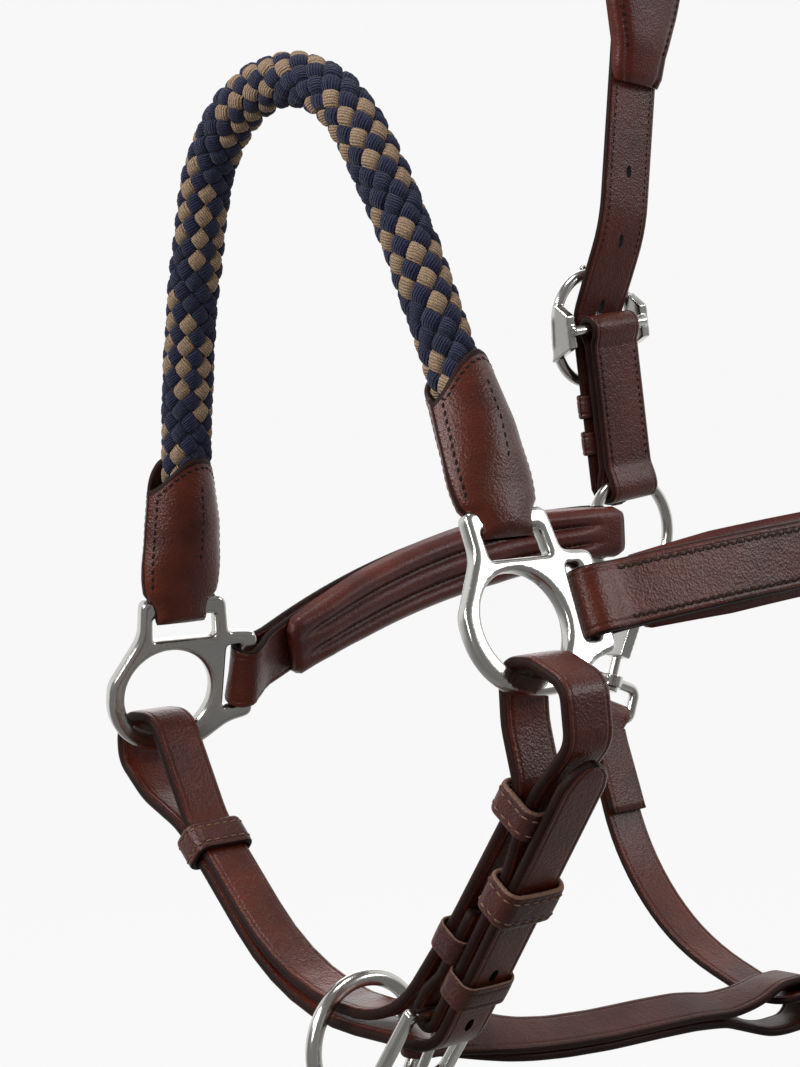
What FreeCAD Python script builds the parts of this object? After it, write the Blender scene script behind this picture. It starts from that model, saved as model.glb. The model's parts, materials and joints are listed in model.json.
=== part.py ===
import FreeCAD, Part
import math
import os
import Sketcher

# Leather headcollar with a rope noseband, in millimetres.
# +X is the horse's left (near) side, -Y points to its nose and +Z is up.
# The origin is the inner face of the padded crown where it lies on the poll.
# Sub-parts are laid out from the noseband datum, the midpoint between the two
# cast nose fittings, and one placement carries them to the origin.

Vector = FreeCAD.Vector
doc = FreeCAD.newDocument("headcollar")
sheet = doc.addObject("Spreadsheet::Sheet", "Sizes")

DRIVING = [
    ("poll_back", 236), ("poll_rise", 283),
    ("leather", 3), ("clearance", 0.3),
    ("fitting_half_span", 86.6), ("fitting_offset", 13.9), ("fitting_lean", 18.7),
    ("near_toe", -2), ("far_toe", 13), ("fitting_plate", 4.6), ("fitting_hole", 15.2),
    ("fitting_outer", 20.2), ("fitting_bar", 5.4),
    ("rope_diameter", 16), ("rope_set_back", 24), ("rope_plane", 4.5),
    ("chape_height", 47.5), ("chape_foot", 20), ("chape_bulge_height", 22),
    ("chape_bulge_width", 23.4), ("chape_bulge_depth", 20.4), ("chape_top_width", 21), ("chape_top_depth", 20),
    ("ring_radius", 20.2), ("ring_wire", 4.5), ("side_ring_half_span", 86),
    ("side_ring_back", 216), ("side_ring_rise", 23),
    ("lead_wire", 5), ("lead_radius", 20), ("lead_side", 8), ("lead_drop", 115.2),
    ("cheek_width", 20), ("cheek_body", 6.6), ("cheek_pad_width", 25), ("cheek_pad", 6.5), ("cheek_bulge", 6),
    ("chin_width", 17), ("chin_thickness", 3.8), ("chin_lean", 36.2),
    ("keeper_wall", 2), ("keeper_room", 0.35), ("seam_wall", 1), ("crown_keeper_wall", 1.4),
    ("crown_width", 24), ("crown_bar_back", 210), ("crown_bar_rise", 101),
    ("crown_back_lean", 8), ("crown_chape_lean", 5.4), ("crown_bar", 4),
    ("ring_play", 0.5), ("chape_fold", 2), ("ring_sag_room", 1.6),
    ("crown_pad", 6.5), ("crown_pad_drop", 31.5), ("poll_pad_width", 46),
    ("buckle_width", 43), ("buckle_height", 45), ("buckle_wire", 4.2), ("hole_radius", 1.8), ("hole_pitch", 26), ("hole_length", 6), ("worn_hole_rise", 5.6),
    ("worn_hole_length", 12.4), ("tongue_wire", 3), ("tongue_slot", 4.4), ("tongue_room", 0.3),
    ("chin_buckle_width", 32), ("chin_buckle_reach", 32), ("chin_bar", 3.8), ("chin_buckle_plate", 3.4),
    ("chin_buckle_side", 4), ("jaw_width", 16), ("jaw_thickness", 6.4), ("throat_width", 18),
    ("snap_lean", 22), ("snap_plate", 5), ("snap_eye_wire", 4), ("pin_radius", 1.6),
]
for row, (alias, value) in enumerate(DRIVING, start=1):
    sheet.set("A%d" % row, alias)
    sheet.set("B%d" % row, str(value))
    sheet.setAlias("B%d" % row, alias)
doc.recompute()


def size(alias):
    return float(sheet.get(alias))


LEATHER = size("leather")
GAP = size("clearance")
DATUM = Vector(0, -size("poll_back"), -size("poll_rise"))
X_AXIS, Y_AXIS = Vector(1, 0, 0), Vector(0, 1, 0)
SIDES = (("near", 1), ("far", -1))
nodes = []


def rad(degrees):
    return math.radians(degrees)


# ---------------------------------------------------------------- outlines

def rounded(corners, closed=True):
    """Lines and arcs through (x, y, radius) corners, as sketch geometry."""
    points = [Vector(x, y, 0) for x, y, r in corners]
    count = len(points)
    starts, ends, arcs = [None] * count, [None] * count, []
    for i, (x, y, radius) in enumerate(corners):
        inner = closed or 0 < i < count - 1
        if not inner or radius <= 0:
            starts[i] = ends[i] = points[i]
            continue
        back = (points[i - 1] - points[i]).normalize()
        ahead = (points[(i + 1) % count] - points[i]).normalize()
        half = back.getAngle(ahead) / 2
        starts[i] = points[i] + back * (radius / math.tan(half))
        ends[i] = points[i] + ahead * (radius / math.tan(half))
        bisector = (back + ahead).normalize()
        middle = points[i] + bisector * (radius / math.sin(half) - radius)
        arcs.append((i, Part.Arc(starts[i], middle, ends[i])))
    edges = [arc for i, arc in arcs]
    for i in range(count if closed else count - 1):
        first, last = ends[i], starts[(i + 1) % count]
        if first.distanceToPoint(last) > 1e-6:
            edges.append(Part.LineSegment(first, last))
    return edges


def offset_route(route, distance):
    """The (x, y, radius) route moved sideways, to its left when positive."""
    points = [Vector(x, y, 0) for x, y, r in route]
    along = [(b - a).normalize() for a, b in zip(points, points[1:])]
    left = [Vector(-d.y, d.x, 0) for d in along]
    moved = []
    for i, (x, y, radius) in enumerate(route):
        before, after = left[max(i - 1, 0)], left[min(i, len(left) - 1)]
        shift = (before + after) * (distance / (1 + before.dot(after)))
        turn = math.copysign(1, before.cross(after).z)
        moved.append((x + shift.x, y + shift.y, radius - distance * turn if radius else 0))
    return moved


def strap_outline(route, thickness):
    one = offset_route(route, thickness / 2)
    other = offset_route(route, -thickness / 2)
    one[0], one[-1] = one[0][:2] + (0,), one[-1][:2] + (0,)
    other[0], other[-1] = other[0][:2] + (0,), other[-1][:2] + (0,)
    return one + other[::-1]


def box_outline(width, height, radius, x=0, y=0):
    w, h = width / 2, height / 2
    return [(x - w, y - h, radius), (x + w, y - h, radius), (x + w, y + h, radius), (x - w, y + h, radius)]


# ---------------------------------------------------------------- features

def role(body, name):
    return [item for item in body.Origin.OriginFeatures if item.Role == name][0]


def sketch_on(body, plane, name, geometry):
    sketch = body.newObject("Sketcher::SketchObject", name)
    sketch.AttachmentSupport = (role(body, plane), "")
    sketch.MapMode = "FlatFace"
    sketch.addGeometry(geometry, False)
    return sketch


def padded_body(label, plane, geometry, length, placement):
    """A body whose sketch is padded evenly to both sides by a sheet value."""
    body = doc.addObject("PartDesign::Body", label)
    body.Label = label
    sketch = sketch_on(body, plane, label + "_outline", geometry)
    pad = body.newObject("PartDesign::Pad", label + "_pad")
    pad.Profile = sketch
    pad.SideType = "Symmetric"
    pad.setExpression("Length", length)
    body.Placement = placement
    doc.recompute()
    nodes.append(body)
    return body


def pocket_through(body, plane, name, geometry):
    pocket = body.newObject("PartDesign::Pocket", name)
    pocket.Profile = sketch_on(body, plane, name + "_outline", geometry)
    pocket.SideType = "Symmetric"
    pocket.Type = "ThroughAll"
    doc.recompute()
    return pocket


def round_edges(body, radius, chosen):
    """Fillets the tip's edges that the test accepts."""
    tip = body.Tip
    names = ["Edge%d" % (i + 1) for i, edge in enumerate(tip.Shape.Edges) if chosen(edge)]
    fillet = body.newObject("PartDesign::Fillet", body.Label + "_rounding")
    fillet.Base = (tip, names)
    fillet.Radius = radius
    doc.recompute()
    return fillet


def shape_node(label, shape, placement=None):
    feature = doc.addObject("Part::Feature", label)
    feature.Label = label
    feature.Shape = shape
    feature.Placement = placement or FreeCAD.Placement(DATUM, FreeCAD.Rotation())
    nodes.append(feature)
    return feature


def at(point, rotation=None):
    return FreeCAD.Placement(DATUM + point, rotation or FreeCAD.Rotation())


def axes(x_axis, y_axis):
    z_axis = x_axis.cross(y_axis)
    return FreeCAD.Rotation(x_axis, y_axis, z_axis, "XYZ")


# ---------------------------------------------------------------- ribbons

def sampled(route, step=6):
    """Points and directions along a rounded route, arcs cut every few degrees."""
    wire = Part.Wire(Part.__sortEdges__([edge.toShape() for edge in rounded(route, False)]))
    first = Vector(route[0][0], route[0][1], 0)
    edges = wire.OrderedEdges
    if edges[0].firstVertex(True).Point.distanceToPoint(first) > 1e-3:
        edges = [edge for edge in reversed(edges)]
    stations, here = [], first
    for edge in edges:
        turn = edge.Length / edge.Curve.Radius if hasattr(edge.Curve, "Radius") else 0
        count = max(1, int(math.ceil(math.degrees(turn) / step)))
        low, high = edge.ParameterRange
        if edge.valueAt(low).distanceToPoint(here) > edge.valueAt(high).distanceToPoint(here):
            low, high = high, low
        for k in range(1 if stations else 0, count + 1):
            t = low + (high - low) * k / count
            direction = edge.tangentAt(t) * math.copysign(1, high - low)
            stations.append((edge.valueAt(t), direction))
        here = edge.valueAt(high)
    return stations


def section(centre, along, across, width, thickness):
    across = (across - along * across.dot(along)).normalize()
    out = along.cross(across).normalize()
    w, t = across * (width / 2), out * (thickness / 2)
    return Part.makePolygon([centre + w + t, centre - w + t, centre - w - t, centre + w - t, centre + w + t])


def ribbon(stations):
    """A flat band lofted through (centre, along, across, width, thickness)."""
    return Part.makeLoft([section(*station) for station in stations], True, True)


def between(table, key):
    """Reads a value out of a short (key, value) list, straight between rows."""
    for (k0, v0), (k1, v1) in zip(table, table[1:]):
        if key <= k1:
            share = max(0, (key - k0) / (k1 - k0))
            return v0 + (v1 - v0) * share
    return table[-1][1]


def ring_cut(centre, axis, radius, wire):
    return Part.makeTorus(radius, wire / 2 + GAP, centre, axis)


def rod(start, end, radius):
    line = end - start
    return Part.makeCylinder(radius, line.Length, start, line)


# ---------------------------------------------------------------- cast nose fittings

def fitting_frame(side):
    """Centre of the ring hole, and the rearward, upward and outward axes."""
    toe = rad(size("near_toe") if side > 0 else size("far_toe"))
    lean = rad(size("fitting_lean"))
    centre = Vector(side * size("fitting_half_span"), 0, side * size("fitting_offset"))
    rearward = Vector(-side * math.sin(toe), math.cos(toe), 0)
    upward = Vector(-side * math.sin(lean), 0, math.cos(lean))
    normal = rearward.cross(upward).normalize()
    upward = normal.cross(rearward)
    return centre, rearward, upward, normal


def fitting_point(side, u, v):
    centre, rearward, upward, normal = fitting_frame(side)
    return centre + rearward * u + upward * v


BAR = size("fitting_bar")
TOP_SLOT = (-6.6, 15.6, 18.2, 27.1)
REAR_SLOT = (19.4, 24.8, -7.2, 15.2)
TOP_BAR_V = TOP_SLOT[3] + BAR / 2
REAR_BAR_U = REAR_SLOT[1] + BAR / 2


def nose_fitting(name, side):
    centre, rearward, upward, normal = fitting_frame(side)
    outer = size("fitting_outer")
    top = TOP_SLOT[3] + BAR
    rear = REAR_SLOT[1] + BAR
    outline = [
        (-11.2, top, 2.4), (-10.8, 20, 12), (-outer, 4, 9), (-outer, -outer, outer - 0.6),
        (11, -outer, 17), (22, -12.4, 14), (rear, REAR_SLOT[2] - 3.4, 2.6), (rear, REAR_SLOT[3] + 3.4, 2.6),
        (19.6, REAR_SLOT[3] + 4.2, 2.5), (17.6, top, 3),
    ]
    body = padded_body(name + "_nose_fitting", "XY_Plane", rounded(outline), "Sizes.fitting_plate",
                       at(centre, axes(rearward, upward)))
    u0, u1, v0, v1 = TOP_SLOT
    slot = [(u0, v0, 1.4), (u1, v0, 1.4), (u1 - 1.2, v1, 1.4), (u0 - 0.6, v1, 1.4)]
    pocket_through(body, "XY_Plane", name + "_top_slot", rounded(slot))
    u0, u1, v0, v1 = REAR_SLOT
    slot = [(u0, v0, 1.4), (u1, v0, 1.4), (u1, v1, 1.4), (u0, v1, 1.4)]
    pocket_through(body, "XY_Plane", name + "_rear_slot", rounded(slot))
    hole = Part.Circle(Vector(0, 0, 0), Vector(0, 0, 1), size("fitting_hole"))
    pocket_through(body, "XY_Plane", name + "_ring_hole", [hole])
    half = size("fitting_plate") / 2
    round_edges(body, 0.9, lambda e: abs(abs(e.CenterOfMass.z) - half) < 1e-4)
    return body


def bar_room(centre, rotation):
    """The space a fitting's bar takes inside the leather folded round it."""
    wide, thick = BAR + 2 * GAP, size("fitting_plate") + 2 * GAP
    room = Part.makeBox(wide, 60, thick, Vector(-wide / 2, -30, -thick / 2))
    room.Placement = FreeCAD.Placement(centre, rotation)
    return room


# ---------------------------------------------------------------- rope noseband

ROPE_ROUTE = [(-73, 97.3, 333), (-25.2, 229.8, 44.6), (38.1, 132.4, 295)]


def rope_end(side):
    return fitting_point(side, size("rope_plane"), TOP_BAR_V)


def rope_route():
    far, near = rope_end(-1), rope_end(1)
    corners = [(far.x, far.z, 0)] + ROPE_ROUTE + [(near.x, near.z, 0)]
    shortened = []
    for end, inner in ((corners[0], corners[1]), (corners[-1], corners[-2])):
        line = Vector(inner[0] - end[0], inner[1] - end[1], 0).normalize() * size("rope_set_back")
        shortened.append((end[0] + line.x, end[1] + line.y, 0))
    return [shortened[0]] + ROPE_ROUTE + [shortened[1]]


def nose_rope():
    route = rope_route()
    edges = Part.__sortEdges__([edge.toShape() for edge in rounded(route, False)])
    wire = Part.Wire(edges)
    wire.rotate(Vector(0, 0, 0), Vector(1, 0, 0), 90)
    wire.translate(Vector(0, size("rope_plane"), 0))
    start = Vector(route[0][0], size("rope_plane"), route[0][1])
    ahead = Vector(route[1][0] - route[0][0], 0, route[1][1] - route[0][1])
    circle = Part.Wire([Part.makeCircle(size("rope_diameter") / 2, start, ahead)])
    solid = wire.makePipeShell([circle], True, True)
    print("rope length", round(wire.Length, 1), "volume ratio",
          round(solid.Volume / (wire.Length * math.pi * (size("rope_diameter") / 2) ** 2), 4))
    return shape_node("nose_rope", solid)


def rope_chape(name, side):
    """The leather cup folded round the fitting's top bar and stitched round the rope's end."""
    foot = rope_end(side)
    inner = ROPE_ROUTE[0] if side < 0 else ROPE_ROUTE[-1]
    leg = Vector(inner[0] - foot.x, 0, inner[1] - foot.z).normalize()
    depth = BAR + 2 * LEATHER - 0.4
    levels = [
        (0, size("chape_foot"), depth),
        (size("chape_bulge_height"), size("chape_bulge_width"), size("chape_bulge_depth")),
        (size("chape_height"), size("chape_top_width"), size("chape_top_depth")),
    ]
    wires = []
    for level, width, thick in levels:
        ellipse = Part.Ellipse(Vector(0, 0, level), max(width, thick) / 2, min(width, thick) / 2).toShape()
        if width >= thick:
            ellipse.rotate(Vector(0, 0, level), Vector(0, 0, 1), 90)
        wires.append(Part.Wire([ellipse]))
    cup = Part.makeLoft(wires, True, False)
    fold = rod(Y_AXIS * (-size("chape_foot") / 2), Y_AXIS * (size("chape_foot") / 2), depth / 2)
    pocket = Part.makeCylinder(size("rope_diameter") / 2 + 0.15, 60, Vector(0, 0, size("rope_set_back") - 1))
    solid = cup.fuse(fold).cut(pocket)
    solid.Placement = FreeCAD.Placement(foot, axes(Y_AXIS.cross(leg), Y_AXIS))
    centre, rearward, upward, normal = fitting_frame(side)
    bar = bar_room(foot, axes(upward, rearward))
    return shape_node(name + "_rope_chape", solid.cut(bar).removeSplitter())


# ---------------------------------------------------------------- rings

def torus(label, centre, axis, radius, wire):
    ring = doc.addObject("Part::Torus", label)
    ring.Label = label
    ring.setExpression("Radius1", radius)
    ring.setExpression("Radius2", wire)
    ring.Placement = at(centre, FreeCAD.Rotation(Vector(0, 0, 1), axis))
    nodes.append(ring)
    return ring


def side_ring_centre(side):
    return Vector(side * size("side_ring_half_span"), size("side_ring_back"), size("side_ring_rise"))


LEAD_CENTRE = Vector(size("lead_side"), 0.5, -size("lead_drop"))


# ---------------------------------------------------------------- cheek straps

def cheek_line(side):
    """Stations from the fitting's rear bar to the side ring's front wire."""
    start = fitting_point(side, REAR_BAR_U, (REAR_SLOT[2] + REAR_SLOT[3]) / 2)
    ring = side_ring_centre(side)
    end = Vector(ring.x, ring.y - size("ring_radius"), ring.z + (4 if side > 0 else 1))
    lift, bulge = (9 if side < 0 else 2.5), size("cheek_bulge")
    lean = rad(size("fitting_lean"))
    stations = []
    count = 10
    for k in range(count + 1):
        share = k / count
        arch = 4 * share * (1 - share)
        centre = start + (end - start) * share + Vector(side * bulge * arch, 0, lift * arch)
        slope = 4 * (1 - 2 * share)
        along = (end - start + Vector(side * bulge * slope, 0, lift * slope)).normalize()
        roll = lean * (1 - share)
        across = Vector(-side * math.sin(roll), 0, math.cos(roll))
        stations.append((centre, along, across))
    return stations


def cheek_strap(name, side):
    width = size("cheek_width")
    line = cheek_line(side)
    body = ribbon([(c, a, s, width, size("cheek_body")) for c, a, s in line])
    eye = size("ring_wire") / 2 + GAP + LEATHER - 0.4
    for centre, along, across in (line[0], line[-1]):
        body = body.fuse(rod(centre - across * (width / 2), centre + across * (width / 2), eye))
    centre, rearward, upward, normal = fitting_frame(side)
    bar = bar_room(line[0][0], axes(rearward, upward))
    ring = ring_cut(side_ring_centre(side), X_AXIS, size("ring_radius"), size("ring_wire"))
    return shape_node(name + "_cheek_strap", body.cut(bar).cut(ring).removeSplitter())


def cheek_padding(name, side):
    line = cheek_line(side)
    stations = []
    for k, (centre, along, across) in enumerate(line[1:], start=1):
        share = k / (len(line) - 1)
        inward = along.cross(across).normalize() * -1
        if inward.x * side > 0:
            inward = inward * -1
        stand_off = between([(0, 3.3), (0.75, 3.3), (1, 5.6)], share) + GAP
        thick = between([(0, 3), (0.2, size("cheek_pad")), (0.9, size("cheek_pad")), (1, 4.5)], share)
        full = size("cheek_pad_width")
        width = between([(0, 20), (0.3, full), (0.7, full), (1, 19)], share)
        stations.append((centre + inward * (stand_off + thick / 2), along, across, width, thick))
    last = stations[-1]
    stations.append((last[0] + last[1] * 8,) + last[1:])
    return shape_node(name + "_cheek_padding", ribbon(stations))


# ---------------------------------------------------------------- chin strap

CHIN_HOLES = (-29.3, -48.8)
CHIN_LEAN = rad(size("chin_lean"))
CHIN_UP = Vector(math.sin(CHIN_LEAN), 0, math.cos(CHIN_LEAN))
CHIN_OUT = Vector(math.cos(CHIN_LEAN), 0, -math.sin(CHIN_LEAN))


def chin_point(out, up, side=0):
    """A point of the near strap bundle, by its distance outward and upward."""
    return CHIN_OUT * out + CHIN_UP * up + Vector(0, side, 0)


LAYER_TURN = 94.2
LAYER_BUCKLE = 99.4
LAYER_BILLET = 103.6
BAR_OUT, BAR_UP = 95.6, -52


def chin_route():
    """One strap: folded round its buckle bar, up through the near ring, under the
    chin, through the far ring, back under the chin and up to the billet's tip."""
    fold = size("chin_bar") / 2 + size("chin_thickness") / 2 + 0.1
    bundle = [
        (LAYER_TURN, -13.5, 0), (LAYER_TURN, -38, 10), (BAR_OUT - fold, -46, 10),
        (BAR_OUT - fold, BAR_UP - fold, fold - 0.02), (BAR_OUT + fold, BAR_UP - fold, fold - 0.02),
        (LAYER_BUCKLE, 6, 40), (96.2, 22, 30), (96.3, 33, 18),
    ]
    corners = []
    for out, up, radius in bundle:
        point = chin_point(out, up)
        corners.append((point.x, point.z, radius))
    near_loop = [(111, -17, 9), (110, -0.8, 7), (97, 4.8, 9), (86.2, 4.2, 5.6), (86.2, -13, 25),
                 (90.4, -31.4, 10)]
    under = [(61.6, -68.6, 120), (31, -103.3, 38), (-19.2, -103.3, 79)]
    far_loop = [(-68.5, -54, 25), (-85, -21.8, 9), (-103.8, -21.8, 9), (-103.8, -37, 9),
                (-91.5, -47.6, 25), (-72.4, -55.9, 25)]
    last = chin_point(LAYER_BILLET, -58.8)
    tip = chin_point(LAYER_BILLET, 48)
    back = [(-19.7, -108.6, 79), (last.x, -108.6, 16), (tip.x, tip.z, 0)]
    return corners + near_loop + under + far_loop + back


def oblong_hole(centre, through, along, length):
    """A cutter for an egg-shaped buckle hole, as long as given along the strap."""
    radius, reach = size("hole_radius"), 9
    slack = along.normalize() * (length / 2 - radius)
    cut = Part.makeBox(2 * radius, 2 * reach, 2 * slack.Length, Vector(-radius, -reach, -slack.Length))
    cut.Placement = FreeCAD.Placement(centre, axes(along.cross(through).normalize(), through.normalize()))
    for end in (centre + slack, centre - slack):
        cut = cut.fuse(rod(end - through.normalize() * reach, end + through.normalize() * reach, radius))
    return cut


def chin_strap():
    route = rounded(strap_outline(chin_route(), size("chin_thickness")))
    blank = padded_body("chin_strap_blank", "XZ_Plane", route, "Sizes.chin_width", at(Vector(0, 0, 0)))
    nodes.remove(blank)
    heel, ahead, out = chin_buckle_axes()
    cuts = [oblong_hole(chin_point(LAYER_BILLET, up), CHIN_OUT, CHIN_UP, size("hole_length"))
            for up in CHIN_HOLES]
    floor = heel + ahead * 13.2 + out * 0.8
    cuts.append(oblong_hole(floor, ahead, X_AXIS, size("hole_length") + 1.6))
    slot = Part.makeBox(16, size("tongue_slot"), 15, Vector(-7, -size("tongue_slot") / 2, -7.5))
    slot.Placement = FreeCAD.Placement(heel, axes(ahead, Y_AXIS))
    tool = doc.addObject("Part::Feature", "chin_strap_holes")
    tool.Shape = Part.makeCompound(cuts + [slot.common(rod(heel - Y_AXIS * 9, heel + Y_AXIS * 9, 7))])
    tool.Placement = at(Vector(0, 0, 0))
    strap = doc.addObject("Part::Cut", "chin_strap")
    strap.Label = "chin_strap"
    strap.Base, strap.Tool = blank, tool
    doc.recompute()
    nodes.append(strap)
    return strap


# ---------------------------------------------------------------- keepers

def keeper(label, placement, room_x, room_y, wall, length):
    """A flat leather loop round a bundle; its hole is room_x by room_y."""
    outer = rounded(box_outline(room_x + 2 * wall, room_y + 2 * wall, wall + 0.6))
    inner = rounded(box_outline(room_x, room_y, 0.6))
    body = doc.addObject("PartDesign::Body", label)
    body.Label = label
    sketch = sketch_on(body, "XY_Plane", label + "_outline", outer + inner)
    pad = body.newObject("PartDesign::Pad", label + "_pad")
    pad.Profile = sketch
    pad.SideType = "Symmetric"
    pad.Length = length
    body.Placement = placement
    doc.recompute()
    nodes.append(body)
    return body


def bundle_keeper(label, inner, outer, up, length, wall):
    """A keeper round the near bundle between two distances outward."""
    room = 2 * size("keeper_room")
    placement = at(chin_point((inner + outer) / 2, up), axes(CHIN_OUT, Y_AXIS))
    return keeper(label, placement, outer - inner + room, size("chin_width") + room, wall, length)


# ---------------------------------------------------------------- chin buckle

def chin_buckle_axes():
    """Centre of the heel bar, and the axes towards the toe bar and outward."""
    heel = chin_point(BAR_OUT, BAR_UP)
    ahead = Vector(-0.62, 0, -0.785).normalize()
    return heel, ahead, ahead.cross(Y_AXIS)


def chin_buckle():
    heel, ahead, out = chin_buckle_axes()
    half, bar = size("chin_buckle_width") / 2, size("chin_buckle_side")
    toe = size("chin_buckle_reach") + bar / 2
    outline = [(-2.6, -half, 1.5), (toe, -half, 5), (toe, half, 5), (-2.6, half, 1.5),
               (-2.6, half - bar, 1.5), (toe - bar, half - bar, 2), (toe - bar, bar - half, 2),
               (-2.6, bar - half, 1.5)]
    body = padded_body("chin_buckle", "XY_Plane", rounded(outline), "Sizes.chin_buckle_plate",
                       at(heel, axes(ahead, Y_AXIS)))
    plate = size("chin_buckle_plate") / 2
    round_edges(body, 0.8, lambda e: abs(abs(e.CenterOfMass.z) - plate) < 1e-4)
    pad = body.newObject("PartDesign::Pad", "chin_heel_bar")
    circle = Part.Circle(Vector(0, 0, 0), Vector(0, 0, 1), size("chin_bar") / 2)
    pad.Profile = sketch_on(body, "XZ_Plane", "chin_heel_bar_outline", [circle])
    pad.SideType = "Symmetric"
    pad.Length = size("chin_buckle_width") - bar
    doc.recompute()
    return body


def tongue(label, pivot, elbow, tip, bar, placement=None):
    """A buckle tongue: an eye round the bar and a round pin to its tip."""
    wire = size("tongue_wire") / 2
    bore_radius = bar / 2 + size("tongue_room")
    eye = rod(pivot - Y_AXIS * (wire + 0.2), pivot + Y_AXIS * (wire + 0.2), bore_radius + 1.4)
    bore = rod(pivot - Y_AXIS * 9, pivot + Y_AXIS * 9, bore_radius)
    pin = rod(pivot, elbow, wire).fuse(rod(elbow, tip, wire))
    for end in (elbow, tip):
        pin = pin.fuse(Part.makeSphere(wire, end))
    return shape_node(label, eye.fuse(pin).cut(bore).removeSplitter(), placement)


def chin_tongue():
    heel, ahead, out = chin_buckle_axes()
    rise = size("chin_buckle_plate") / 2 + size("tongue_wire") / 2 + size("tongue_room")
    tip = heel + ahead * (size("chin_buckle_reach") + 1.5) + out * rise
    return tongue("chin_buckle_tongue", heel, (heel + tip) / 2, tip, size("chin_bar"))


# ---------------------------------------------------------------- jaw strap

THROAT_BOTTOM = Vector(0, 194, -141)


def jaw_strap():
    """Doubled strap from the lead ring to the loop that the throat strap runs through."""
    width, thick = size("jaw_width"), size("jaw_thickness")
    eye_centre = LEAD_CENTRE + Vector(0, size("lead_radius"), 0)
    loop_front = THROAT_BOTTOM.y - 19
    rows = [
        (eye_centre.y, 8, -115.2, 88), (30, 8, -116.5, 80), (38, 8, -118.8, 66), (46, 7.5, -121.6, 50),
        (55, 7, -124.6, 38), (66, 6.5, -127.2, 30), (80, 6, -129.4, 26), (100, 5, -131.4, 25),
        (125, 3.5, -132.9, 25), (143, 2, -134.4, 24), (154, 1, -136.2, 21), (165, 0.5, -138.4, 16),
        (loop_front + 4, 0, -140.6, 8),
    ]
    centres = [Vector(x, y, z) for y, x, z, turn in rows]
    stations = []
    for i, (y, x, z, turn) in enumerate(rows):
        along = (centres[min(i + 1, len(rows) - 1)] - centres[max(i - 1, 0)]).normalize()
        across = Vector(math.cos(rad(turn)), 0, -math.sin(rad(turn)))
        stations.append((centres[i], along, across, width, thick))
    body = ribbon(stations)
    eye = rod(eye_centre - Vector(0, 0, width / 2), eye_centre + Vector(0, 0, width / 2), 5.6)
    loop = loop_block(THROAT_BOTTOM - Vector(0, 2, 0), width, 34, 24, 9)
    opening = loop_block(THROAT_BOTTOM, width + 4, 21, 13, 3.5)
    solid = body.fuse(eye).fuse(loop).cut(opening)
    solid = solid.cut(ring_cut(LEAD_CENTRE, X_AXIS, size("lead_radius"), size("lead_wire")))
    return shape_node("jaw_strap", solid.removeSplitter())


def loop_block(centre, width, length, height, radius):
    """A rounded block lying along X, used for a strap loop and its opening."""
    edges = [edge.toShape() for edge in rounded(box_outline(length, height, radius))]
    face = Part.Face(Part.Wire(Part.__sortEdges__(edges)))
    block = face.extrude(Vector(0, 0, width))
    block.translate(Vector(0, 0, -width / 2))
    block.Placement = FreeCAD.Placement(centre, axes(Y_AXIS, Vector(0, 0, 1))).multiply(block.Placement)
    return block


# ---------------------------------------------------------------- snap hook and throat strap

SNAP_LEAN = rad(size("snap_lean"))
SNAP_DOWN = Vector(0, -math.sin(SNAP_LEAN), -math.cos(SNAP_LEAN))
SNAP_FACE = Vector(0, -math.cos(SNAP_LEAN), math.sin(SNAP_LEAN))
SNAP_TOP = Vector(-size("side_ring_half_span"), size("side_ring_back") + 0.5,
                  size("side_ring_rise") - size("ring_radius"))
EYE_TOP, EYE_BOTTOM, EYE_WIRE = 38.5, 50.5, size("snap_eye_wire")
HOOK_SEAT = 1.3


def snap_rotation():
    """Local X is world X, local Y runs down the hook and local Z faces its flat."""
    return axes(X_AXIS, SNAP_DOWN)


def slab(outline, thick):
    """A flat plate of the given (x, y) outline, evenly about the local XY plane."""
    points = [Vector(x, y, -thick / 2) for x, y in outline + outline[:1]]
    return Part.Face(Part.makePolygon(points)).extrude(Vector(0, 0, thick))


def snap_body():
    plate = size("snap_plate")
    hook = Part.makeCylinder(9.4, plate, Vector(0, HOOK_SEAT, -plate / 2))
    shank = slab([(-6.5, 8), (7.5, 6), (4.6, 29), (-4.6, 29)], plate)
    body = hook.fuse(shank)
    body = body.cut(Part.makeCylinder(5.4, 20, Vector(0, HOOK_SEAT, -10)))
    mouth = Part.makeBox(9, 11.5, 20, Vector(-11.5, 2.5, -10))
    notch = Part.makeBox(9, 12, 3.2, Vector(-9.5, 10, -1.6))
    post = rod(Vector(0, 28, 0), Vector(0, EYE_TOP + 3.4, 0), 1.9)
    head = rod(Vector(0, EYE_TOP + EYE_WIRE / 2 + 0.3, 0), Vector(0, EYE_TOP + 3.9, 0), 3)
    pin = rod(Vector(-4.2, 16, -9), Vector(-4.2, 16, 9), size("pin_radius") + 0.05)
    body = body.cut(mouth).cut(notch).fuse(post).fuse(head).cut(pin).removeSplitter()
    return shape_node("snap_body", body, at(SNAP_TOP, snap_rotation()))


def snap_gate():
    """The sprung lever that closes the hook's mouth, with its thumb tab."""
    plate = slab([(-9, -0.2), (-6, 0.2), (-5.8, 10.4), (-2.4, 13.6), (-2.4, 18.5), (-6.2, 18.5),
                  (-11.4, 14.6), (-11.4, 11.6), (-8.2, 11.2)], 2.6)
    bore = rod(Vector(-4.2, 16, -9), Vector(-4.2, 16, 9), size("pin_radius") + 0.05)
    keep_out = Part.makeBox(30, 3, 20, Vector(-15, -0.5, -10))
    return shape_node("snap_gate", plate.cut(keep_out).cut(bore), at(SNAP_TOP, snap_rotation()))


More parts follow.
